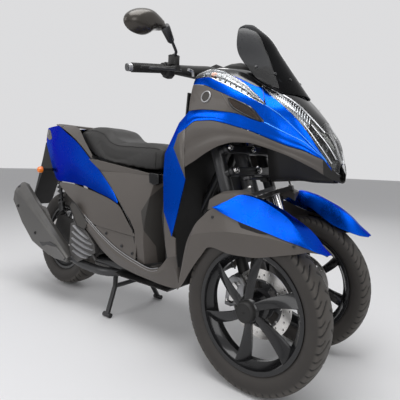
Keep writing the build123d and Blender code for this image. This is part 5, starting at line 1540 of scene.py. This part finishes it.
SIDE = [
    (284, 236, 98, 204, 176, 160, 176), (400, 240, 98, 196, 182, 150, 187),
    (520, 246, 95, 204, 172, 30, 180), (590, 252, 92, 216, 162, -60, 170),
    (646, 260, 90, 236, 150, -144, 161)]
# The part in front of the pillar is painted darker, a painted shadow on the front face that lies in shade.
# Its edge runs down and back from the latch, then down to the floor.
PILLAR_EDGE = [(280, 226), (352, 221), (413, 199), (493, 171), (599, 238), (660, 262)]
COVER_LEVELS = (284, 318, 352, 382, 413, 453, 493, 546, 599, 646)


def pillar_x(z):
    """Where the pillar's edge lies at a height."""
    return next(
        a[1] + (b[1] - a[1]) * (z - a[0]) / (b[0] - a[0]) for a, b in zip(PILLAR_EDGE, PILLAR_EDGE[1:])
        if z <= b[0])


rows = []
for z in COVER_LEVELS:
    front, half, corner, corner_half, back, back_half = (eased(SIDE, z, column) for column in range(1, 7))
    run = [
        (back, back_half), (corner, corner_half), (front, half), (front, -half), (corner, -corner_half),
        (back, -back_half)]
    row = []
    for (x1, y1), (x2, y2) in zip(run, run[1:]):
        for step in range(12):
            share = step / 12
            row.append((x1 + (x2 - x1) * share, y1 + (y2 - y1) * share, z))
    rows.append(row + [(run[-1][0], run[-1][1], z)])
covers = mesh_piece(
    "side_cover_shell", *strip_loft(rows, closed=False), "chassis", cover_grey_painted_shadow, "grey_panel",
    ("side_covers",), wall=3, edge=1.6, sharp=24)
# How far each point is in front of the pillar's edge, in millimetres, so that the painted shadow starts on
# a clean line
ahead = covers.data.attributes.new("ahead", "FLOAT", "POINT")
ahead.data.foreach_set("value", [v.co.x / MM - pillar_x(v.co.z / MM) for v in covers.data.vertices])
SEAT_SKIRT = [(232, 644), (176, 650), (0, 674), (-188, 700), (-252, 703), (-144, 644)]
chassis_pair("seat_skirts", plate(SEAT_SKIRT, 147, 155), *GREY_LOOK, edge=1.2)
latch = plate([(200, 612), (196, 646), (204, 652), (252, 648), (256, 612), (230, 602)], 142, 166)
chassis_pair("latch_boxes", latch, *GLOSS_PANEL_LOOK, edge=2.5)

# %% Lower tail panels
LOWER_TAIL = [
    (-528, 139, 579, 141, 560), (-400, 151, 577, 160, 512), (-288, 165, 568, 172, 470),
    (-124, 171, 543, 188, 404), (20, 180, 508, 188, 394), (100, 184, 440, 188, 390),
    (150, 187, 394, 188, 388)]
skin(
    "tail_under_panels", [edge_line(LOWER_TAIL, ("top", "low"), name) for name in ("top", "low")],
    spaced(-528, 150, 70), *GREY_LOOK, ("tail_lower",), wall=3, across=6, crown=0.6, sink=0.4)
for node, material, edge in (
        ("grab_rail", panel_grey, 1.5), ("mudguard", panel_black, 1.2), ("bar_cover", panel_black, 2.5),
        ("radiator_cover", dark_alloy, 1.2), ("controls", panel_black, 1.5)):
    dress(node, material, edge)

# %% Steps, footrests and shut lines
LOW_RUN = [(-124, 404), (-60, 372), (20, 336), (100, 306), (160, 291)]
step_rows = []
for x in spaced(-124, 160, 30):
    low = eased(LOW_RUN, x, 1) - 6
    high = max(low + 4, min(403, eased(LOWER_TAIL, x, 4) + 2))
    step_rows.append([(x, 187.0 - 0.6 * j, low + (high - low) * j / 6) for j in range(7)])
chassis_pair("step_panels", strip_loft(step_rows, closed=False), *GREY_LOOK, wall=2.5)
step_bolts = bolt_heads([((x, 187.5, z), (0, 1, 0)) for x, z in ((-40, 377), (70, 338), (140, 318))], 6, 3)
chassis_pair("step_bolts", step_bolts, *METAL_LOOK)
REST = [(-336, 474), (-322, 490), (-288, 488), (-178, 408), (-196, 378), (-214, 374), (-264, 384)]
chassis_pair("footrests", plate(REST, 183.5, 190.5), panel_dark, "grey_panel", edge=2)
for side_name, side in SIDES:
    pipe(
        f"footrest_edge_{side_name}", [(x, side * 190.8, z) for x, z in REST + REST[:1]], 1.8, "chassis",
        *RUBBER_LOOK, smooth=False)
    # Two thin bright alloy beads along the top of each skirt are painted highlights of its upper edge
    top_run = [
        (x, side * (eased(SKIRT_ROWS, x, 4) + 0.2), eased(SKIRT_ROWS, x, 1) + 0.6)
        for x in spaced(-212, 296, 40)]
    pipe(f"skirt_edge_highlight_{side_name}", top_run, 1.6, "chassis", *ALLOY_LOOK)
    second = [(x, y + side * 1.8, z - 9) for x, y, z in top_run]
    pipe(f"skirt_lower_highlight_{side_name}", second, 1.0, "chassis", *ALLOY_LOOK)
    seam = [(-144, 648), (-60, 594), (30, 524), (110, 452), (146, 400), (156, 300)]
    pipe(
        f"cover_seam_{side_name}",
        [(x, side * (eased(sorted((row[0], row[6]) for row in SIDE), z, 1) + 0.4), z) for x, z in seam],
        1.5, "chassis", *GLOSS_PANEL_LOOK)
print("covers done")

# %% [markdown]
# ## Lamps, plate and mudguard
# The tail lamp is a red wedge with ribs behind it. The turn lamps stand out on stalks from the mudguard,
# and the number plate place is bare.

# %% Rear lamps
wedge = plate([(-829, 800), (-829, 872), (-846, 866), (-858, 812), (-850, 798)], -56, 56)
mesh_piece("tail_lamp", *wedge, "chassis", red_lens, "lamp_lens", ("rear_lamps",), edge=2.5)
bars = [
    plate(
        [
            (-853 + 1.6 * i, 806 + 9 * i), (-857 + 1.6 * i, 808 + 9 * i), (-856 + 1.6 * i, 811 + 9 * i),
            (-852 + 1.6 * i, 809 + 9 * i)], -50, 50) for i in range(5)]
mesh_piece("tail_lamp_ribs", *merge_parts(*bars), "chassis", red_lens, "lamp_lens", edge=0.4)
for side_name, side in SIDES:
    body = turned(
        (-752, side * 126.5, 636), (-752, side * 150, 636),
        [(19, 0), (19, 0.4), (16, 0.75), (9, 0.97), (2, 1)], 32)
    mesh_piece(f"rear_turn_lamp_{side_name}", *body, "chassis", amber_lens, "orange_lens")
    stalk = turned(
        (-752, side * 60, 636), (-752, side * 128, 636), [(9, 0), (9, 0.7), (15, 0.95), (17, 1)], 28)
    mesh_piece(f"turn_lamp_stalk_{side_name}", *stalk, "chassis", *RUBBER_LOOK)
plate_sheet = plate([(-949.5, 520), (-951.5, 520), (-990.5, 425), (-988.5, 424)], -52, 52)
mesh_piece("blank_plate", *plate_sheet, "chassis", *ALLOY_LOOK, edge=1.0)

# %% [markdown]
# ## Rear suspension, drive and silencer
# Two coil springs carry the tail. Each is one wire wound round the shock's own axis, drawn as a curve with
# a bevel, because a curve keeps the wire round however steeply it climbs. The silencer is a wedge with no
# round section, so it is lofted through four side-view outlines. The radiator's ribs are lofted along short
# curves.

# %% Shock springs
SHOCK_TOP, SHOCK_FOOT = Vector((-648, 0, 714)), Vector((-578, 0, 404))
for side_name, side in SIDES:
    start, end = SHOCK_FOOT + Vector((0, side * 88, 0)), SHOCK_TOP + Vector((0, side * 88, 0))
    way = (end - start).normalized()
    aside = way.orthogonal().normalized()
    across = way.cross(aside)
    low, high = start + way * 62, end - way * 44
    turns, steps = 9, 9 * 16
    coil = [
        tuple(
            low + (high - low) * i / steps + aside * 14.6 * cos(2 * pi * turns * i / steps) + across * 14.6
            * sin(2 * pi * turns * i / steps)) for i in range(steps + 1)]
    pipe(f"shock_spring_{side_name}", coil, 3.2, "chassis", *METAL_LOOK, stands_for=("shocks",))
    body = merge_parts(
        turned(start + way * 8, low, [(8, 0), (15, 0.1), (15, 0.85), (17.5, 0.9), (17.5, 1)], 28),
        rod(low, high, 8.5, 24),
        turned(high, end - way * 14, [(17.5, 0), (17.5, 0.3), (11, 0.5), (9, 1)], 28))
    mesh_piece(f"shock_body_{side_name}", *body, "chassis", *METAL_LOOK)
    eyes = merge_parts(
        *[rod(p + Vector((0, -12, 0)), p + Vector((0, 12, 0)), 11, 28) for p in (start, end)])
    mesh_piece(f"shock_eyes_{side_name}", *eyes, "chassis", *RUBBER_LOOK)

# %% Silencer: a wedge lofted through four outlines from the outer face inwards, with its pipe
# x, z of matching points at each depth
SILENCER = [
    (
        -206,
        [
            (-886, 508), (-856, 490), (-706, 433), (-556, 356), (-392, 268), (-312, 226), (-322, 206),
            (-430, 208), (-543, 230), (-654, 260), (-779, 346), (-896, 458)]),
    (
        -198,
        [
            (-884, 528), (-848, 520), (-704, 448), (-558, 368), (-396, 276), (-312, 230), (-318, 203),
            (-430, 204), (-545, 225), (-656, 255), (-783, 341), (-902, 462)]),
    (
        -172,
        [
            (-872, 560), (-846, 563), (-718, 476), (-596, 404), (-440, 304), (-322, 234), (-326, 206),
            (-430, 206), (-543, 230), (-654, 260), (-777, 350), (-890, 480)]),
    (
        -146,
        [
            (-858, 548), (-842, 550), (-716, 462), (-598, 390), (-444, 292), (-330, 226), (-334, 212),
            (-430, 214), (-543, 240), (-650, 270), (-770, 360), (-874, 488)])]
silencer = strip_loft([[(x, y, z) for x, z in outline] for y, outline in SILENCER])
mesh_piece("silencer", *silencer, "chassis", silencer_grey, "alloy", ("exhaust",), edge=3, sharp=22)
pipe(
    "exhaust_pipe",
    [
        (-322, -168, 220), (-280, -164, 210), (-230, -160, 198), (-60, -152, 192), (-14, -60, 194),
        (-14, -46, 250)], 19, "chassis", *METAL_LOOK)
lower_shield = [(-552, 240), (-474, 217), (-332, 213), (-322, 226), (-398, 264), (-500, 262)]
mesh_piece("lower_shield", *plate(lower_shield, -211, -205), "chassis", silencer_grey, "alloy", edge=2)
notch = [(-575, 266), (-540, 268), (-470, 282), (-400, 270), (-500, 257), (-540, 250)]
mesh_piece("silencer_notch", *plate(notch, -208.5, -205.5), "chassis", *GLOSS_PANEL_LOOK, edge=0.8)
bolts = bolt_heads([((x, -206, z), (0, -1, 0)) for x, z in ((-828, 430), (-623, 306))], 7.5, 4)
mesh_piece("silencer_bolts", *bolts, "chassis", *BLACK_LOOK)
end_cap = turned(
    (-868, -176, 530), (-876, -176, 538), [(20, 0), (20, 0.6), (16, 0.8), (13, 1), (12, 0.4)], 32)
mesh_piece("silencer_outlet", *end_cap, "chassis", *METAL_LOOK)
# The hanger: a flat loop between the silencer and the frame
loop = [
    [(-700, 428), (-680, 446), (-612, 440), (-590, 424), (-496, 318), (-512, 308), (-628, 366)],
    [(-664, 424), (-622, 424), (-602, 408), (-618, 384), (-640, 396)][::-1]]
hanger = pierced_plate(
    "silencer_hanger", loop, 5, "chassis", silencer_grey, "alloy",
    Matrix.Translation(Vector((0, -165, 0)) * MM) @ Matrix.Rotation(pi / 2, 4, "X"))
soften(hanger, 1.0)

# %% Radiator ribs: five curved blades one above the other, on a raised plate
plate_line = [
    (-330, 388), (-278, 402), (-236, 392), (-130, 312), (-122, 276), (-258, 212), (-322, 240), (-334, 290)]
mesh_piece("radiator_plate", *plate(plate_line, -184, -173), "chassis", dark_alloy, "alloy", edge=2)
ribs = []
for start, middle, end in (
        ((-300, 380), (-226, 345), (-172, 334)), ((-304, 350), (-222, 317), (-140, 312)),
        ((-306, 320), (-220, 290), (-130, 289)), ((-304, 291), (-216, 263), (-140, 264)),
        ((-292, 262), (-226, 241), (-172, 247))):
    rows = []
    for step in range(13):
        t = step / 12
        x = (1 - t) ** 2 * start[0] + 2 * t * (1 - t) * middle[0] + t * t * end[0]
        z = (1 - t) ** 2 * start[1] + 2 * t * (1 - t) * middle[1] + t * t * end[1]
        tall = 2 + 6.0 * sin(pi * min(1, 0.15 + 0.8 * t))
        rows.append([
            (x, -183, z + tall), (x, -193, z + tall * 0.2), (x, -190, z - tall * 0.7), (x, -183, z - tall)])
    ribs.append(strip_loft(rows))
mesh_piece("radiator_fins", *merge_parts(*ribs), "chassis", *ALLOY_LOOK, edge=0.6)
print("silencer dressed")

# %% [markdown]
# ## Bars, grips and mirrors
# Grips are soft rubber with rings cut round them, turned from one profile. The mirror heads are rounded
# shells with the glass set into the rider's side: the same outline is shrunk step by step towards the back.
# A shroud hides the bare bar between the middle cover and each switch housing.

# %% Grips
GRIP_RUN = (245, 371)
LEFT_LINE = [Vector((420, 70, 1056)), Vector((352, 215, 1050)), Vector((318, 375, 1022))]


def on_grip(y, side):
    """Point on the bar's outer run at a half-width."""
    share = (y - LEFT_LINE[1].y) / (LEFT_LINE[2].y - LEFT_LINE[1].y)
    point = LEFT_LINE[1] + (LEFT_LINE[2] - LEFT_LINE[1]) * share
    return Vector((point.x, side * point.y, point.z))


for side_name, side in SIDES:
    profile = [(17, 0), (22, 0.01), (22, 0.05), (17, 0.06)]
    for index in range(15):
        start_share = 0.08 + index * 0.06
        profile += [
            (17, start_share), (15.4, start_share + 0.01), (15.4, start_share + 0.02),
            (17, start_share + 0.03)]
    grip = turned(
        on_grip(GRIP_RUN[0], side), on_grip(GRIP_RUN[1], side), profile + [(17, 0.995), (14, 1)], 36)
    mesh_piece(f"grip_{side_name}", *grip, "bars", *RUBBER_LOOK, ("grips",))
    weight = turned(on_grip(371.5, side), on_grip(388, side), [(14, 0), (14, 0.8), (11, 1), (3, 1)], 32)
    mesh_piece(f"bar_end_{side_name}", *weight, "bars", *ALLOY_LOOK)
    cap = on_grip(222, side) + Vector((22, 0, 26))
    mesh_piece(
        f"reservoir_cap_{side_name}",
        *lathe([(21, 17), (21.6, 18), (21.4, 20), (18, 21), (2, 21)], tuple(cap), 40, upright=True), "bars",
        *BLACK_LOOK)

# %% Mirrors
MIRROR_OUTLINE = [
    (311, 1173), (352, 1192), (390, 1203), (444, 1184), (476, 1156), (484, 1134), (478, 1118), (458, 1106),
    (425, 1104), (393, 1112), (362, 1140), (323, 1148)]
GLASS_SHARE = 0.93
mirror_bronze = finish(
    "mirror_bronze", (0.050, 0.044, 0.038), 0.32, metal=0.55, coat=0.2, grain=1200.0, depth=0.08)


def rounded_outline(outline, steps):
    """A closed outline drawn as a smooth closed curve through the middles of its edges."""
    points = []
    count = len(outline)
    for i in range(count):
        a, b, c = (Vector(outline[(i + k) % count]) for k in (-1, 0, 1))
        first, last = (a + b) / 2, (b + c) / 2
        for step in range(steps):
            t = step / steps
            points.append((1 - t) ** 2 * first + 2 * t * (1 - t) * b + t * t * last)
    return points


for side_name, side in SIDES:
    outline = rounded_outline([(side * y, z) for y, z in MIRROR_OUTLINE], 6)
    middle = sum(outline, Vector((0, 0))) / len(outline)
    sections = []
    for depth, share in (
            (0, 0.975), (1.5, 1.0), (8, 1.0), (18, 0.95), (28, 0.85), (36, 0.70), (41, 0.50), (43.5, 0.22)):
        sections.append([(410 + depth, *(middle + share * (point - middle))) for point in outline])
    mesh_piece(
        f"mirror_shell_{side_name}", *strip_loft(sections), "bars", mirror_bronze, "black_panel",
        ("mirrors",), sharp=60)
    glass = [(409.6, *(middle + GLASS_SHARE * (point - middle))) for point in outline]
    back = [(411.5, *(middle + GLASS_SHARE * (point - middle))) for point in outline]
    mesh_piece(
        f"mirror_glass_{side_name}", *strip_loft([back, glass]), "bars", mirror_glass, "steel", sharp=60)
    foot = on_grip(226, side) + Vector((30, 0, 40))
    elbow, head = Vector((on_grip(226, side).x + 52, side * 240, 1102)), Vector((428, side * 318, 1160))
    pipe(
        f"mirror_stem_{side_name}", [foot, foot.lerp(elbow, 0.8), elbow, elbow.lerp(head, 0.2), head], 5.6,
        "bars", *METAL_LOOK)
    neck = head - (head - elbow).normalized() * 54 - Vector((0, 0, 6))
    knuckle = merge_parts(
        turned(
            neck, head + Vector((0, side * 8, 3)), [(8, 0), (13, 0.12), (15, 0.5), (17, 0.85), (16, 1)], 28
        ), turned(foot - Vector((0, 0, 12)), foot + Vector((0, 0, 12)), [(11, 0), (11, 0.5), (8, 1)], 6))
    mesh_piece(f"mirror_knuckle_{side_name}", *knuckle, "bars", *METAL_LOOK)
print("mirrors set")

# %% Switch housings, levers and shrouds
for side_name, side in SIDES:
    inner, outer = on_grip(214, side), on_grip(246, side)
    housing = turned(
        inner + Vector((4, 0, -10)), outer + Vector((4, 0, -10)),
        [(22, 0), (28, 0.1), (29, 0.6), (26, 0.95), (20, 1)], 8)
    mesh_piece(f"switch_housing_{side_name}", *housing, "bars", *BLACK_LOOK, edge=2.5)
    lever = [
        Vector((on_grip(210, side).x + 46, side * 210, 1040)),
        Vector((on_grip(260, side).x + 60, side * 262, 1032)),
        Vector((on_grip(340, side).x + 48, side * 342, 1022))]
    pipe(f"lever_{side_name}", lever, 5.2, "bars", *METAL_LOOK)
    bracket = [
        Vector((436, side * 210, 1038)), Vector((438, side * 192, 1038)), Vector((439, side * 186, 1030)),
        Vector((438, side * 185, 1018))]
    pipe(f"lever_bracket_{side_name}", bracket, 5.4, "bars", *ALLOY_LOOK)
# A black shroud tapers along the bar from the middle cover out to each switch housing
COVER_SHAPE = [(-38, -18), (-24, 24), (20, 34), (34, 6), (28, -22), (8, -30), (-26, -30)]
for side_name, side in SIDES:
    sections = []
    for y, size in ((57, 1.0), (90, 0.92), (130, 0.78), (170, 0.66), (200, 0.58), (212, 0.50)):
        share = (y - LEFT_LINE[0].y) / (LEFT_LINE[1].y - LEFT_LINE[0].y)
        centre = LEFT_LINE[0] + (LEFT_LINE[1] - LEFT_LINE[0]) * max(0, share)
        shape = rounded_outline([(centre.x + size * a, centre.z + size * b) for a, b in COVER_SHAPE], 3)
        sections.append([(point.x, side * y, point.y) for point in shape])
    mesh_piece(f"bar_shroud_{side_name}", *strip_loft(sections), "bars", *BLACK_LOOK, sharp=50)
print("shroud sections each side", len(sections))

# %% Casing under the engine
# It lies between the legs of the centre stand, which fold up past it outside y 84
SUMP = [(-284, 172), (-136, 172), (-131, 214), (-150, 246), (-284, 240)]
mesh_piece("engine_sump", *plate(SUMP, -72, -46), "chassis", dark_alloy, "alloy", edge=4)
print("casing set")

# %% [markdown]
# ## The seat
# A long padded seat: the rider's part is low, then it steps up to the passenger's part. The cover is
# stretched over foam, so the form starts a little small, is remeshed evenly, and is blown up gently by
# Cloth with no gravity. How far a point may move is capped. The seams are added afterwards, because
# remeshing would erase them.

# %% Seat form
SEAT_SECTIONS = [
    (199, 88, 668, 754), (160, 112, 660, 778), (60, 130, 668, 784), (-70, 140, 684, 790),
    (-130, 141, 694, 806), (-200, 136, 706, 852), (-320, 114, 746, 872), (-420, 92, 796, 862),
    (-466, 72, 826, 848)]
seat_leather = finish(
    "seat_cover", (0.030, 0.029, 0.028), 0.58, grain=520.0, depth=0.55, mottle=0.16, wear=0.2,
    worn=(0.09, 0.088, 0.085), marks=16.0)


def seat_loop(x, inset):
    """A closed section of the seat, drawn in by an inset."""
    half, low, high = (eased(SEAT_SECTIONS, x, column) for column in (1, 2, 3))
    half, low, high = half - inset, low + inset * 0.3, high - inset
    rise = high - low
    right = [
        (0, low), (half * 0.6, low), (half * 0.98, low + 0.02 * rise), (half, low + 0.30 * rise),
        (half * 0.97, low + 0.66 * rise), (half * 0.88, low + 0.88 * rise), (half * 0.62, high),
        (half * 0.3, high + 0.5)]
    return [(x, y, z) for y, z in right] + [(x, 0, high)] + [(x, -y, z) for y, z in right[:0:-1]]


# The even mesh's cell and the farthest that a point may swell, in metres
VOXEL, MOST_SWELL, SETTLE_FRAMES = 0.006, 0.006, 20
FOAM_INSET = 5
seat_form = strip_loft([seat_loop(x, FOAM_INSET) for x in spaced(-461, 190, 70)])
seat_pad = mesh_piece("seat_pad", *seat_form, "seat", seat_leather, "seat_cover", ("seat",), sharp=60)
remesh = seat_pad.modifiers.new("even", "REMESH")
remesh.mode, remesh.voxel_size = "VOXEL", VOXEL
shape = bpy.data.meshes.new_from_object(seat_pad.evaluated_get(bpy.context.evaluated_depsgraph_get()))
seat_pad.modifiers.clear()
seat_pad.data = shape
rest = np.empty(len(shape.vertices) * 3)
shape.vertices.foreach_get("co", rest)
rest = rest.reshape(-1, 3)
held = seat_pad.vertex_groups.new(name="held")
base = [
    i for i, point in enumerate(rest) if point[2] < eased(SEAT_SECTIONS, point[0] / MM, 2) * MM + 0.008]
held.add(base, 1.0, "REPLACE")
cloth = seat_pad.modifiers.new("swell", "CLOTH")
settings = cloth.settings
settings.quality, settings.mass, settings.use_pressure = 5, 0.3, True
settings.uniform_pressure_force = 4.0
settings.tension_stiffness = settings.compression_stiffness = 40
settings.bending_stiffness = 2.0
settings.effector_weights.gravity = 0
settings.vertex_group_mass = "held"
for step in range(1, SETTLE_FRAMES + 1):
    scene.frame_set(step)
settled = bpy.data.meshes.new_from_object(seat_pad.evaluated_get(bpy.context.evaluated_depsgraph_get()))
moved = np.empty(len(settled.vertices) * 3)
settled.vertices.foreach_get("co", moved)
moved = moved.reshape(-1, 3) - rest
reach = np.linalg.norm(moved, axis=1, keepdims=True)
moved *= np.minimum(1.0, MOST_SWELL / np.maximum(reach, 1e-9))
seat_pad.modifiers.clear()
settled.vertices.foreach_set("co", (rest + moved).ravel())
seat_pad.data = settled
seat_pad.data.materials.clear()
seat_pad.data.materials.append(seat_leather)
scene.frame_set(1)
print("seat swelled by up to", round(float(np.minimum(reach, MOST_SWELL).max()), 4))
seat_pad.data.shade_smooth()
fine = seat_pad.modifiers.new("fine", "SUBSURF")
fine.levels = fine.render_levels = 1

# %% Seams
# Each seam is laid on the finished pad: every point goes to the nearest place on its surface, then out by
# its own lift.
pad_surface = BVHTree.FromPolygons(
    [v.co.copy() for v in seat_pad.data.vertices], [tuple(p.vertices) for p in seat_pad.data.polygons])


def on_pad(x, y, z, lift=0.4):
    """The nearest point of the seat's surface, lifted off it by the seam's own height, in millimetres."""
    near, normal, _, _ = pad_surface.find_nearest(Vector((x, y, z)) * MM)
    return near / MM + normal * lift


for side_name, side in SIDES:
    seam = []
    for x in spaced(176, -450, 60):
        half, low, high = (eased(SEAT_SECTIONS, x, column) for column in (1, 2, 3))
        seam.append(on_pad(x, side * half * 0.90, low + (high - low) * 0.86))
    pipe(f"seat_seam_{side_name}", seam, 1.5, "seat", grip_rubber, "seat_cover")
    front_seam = [on_pad(176, side * 130, z) for z in spaced(668, 752, 12)]
    pipe(f"seat_front_seam_{side_name}", front_seam, 1.4, "seat", grip_rubber, "seat_cover")
print("seat sewn")

# %% [markdown]
# ## Floor and sizes
# The trike stands on a plain pale floor. The box of the finished model is measured at the end, as the box
# of the solids was at the start.

# %% Stage and finish
floor_finish = bpy.data.materials.new("studio_floor")
floor_finish.use_nodes = True
floor_shader = floor_finish.node_tree.nodes["Principled BSDF"]
floor_shader.inputs["Base Color"].default_value = (0.78, 0.78, 0.79, 1)
floor_shader.inputs["Roughness"].default_value = 0.6
floor_mesh = bpy.data.meshes.new("floor")
floor_mesh.from_pydata([(-30, -30, 0), (30, -30, 0), (30, 30, 0), (-30, 30, 0)], [], [(0, 1, 2, 3)])
floor_mesh.materials.append(floor_finish)
floor = bpy.data.objects.new("floor", floor_mesh)
floor.location.z = cad_low[2] - 0.0005
scene.collection.objects.link(floor)
floor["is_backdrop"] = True
bpy.context.view_layer.update()
low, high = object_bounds()
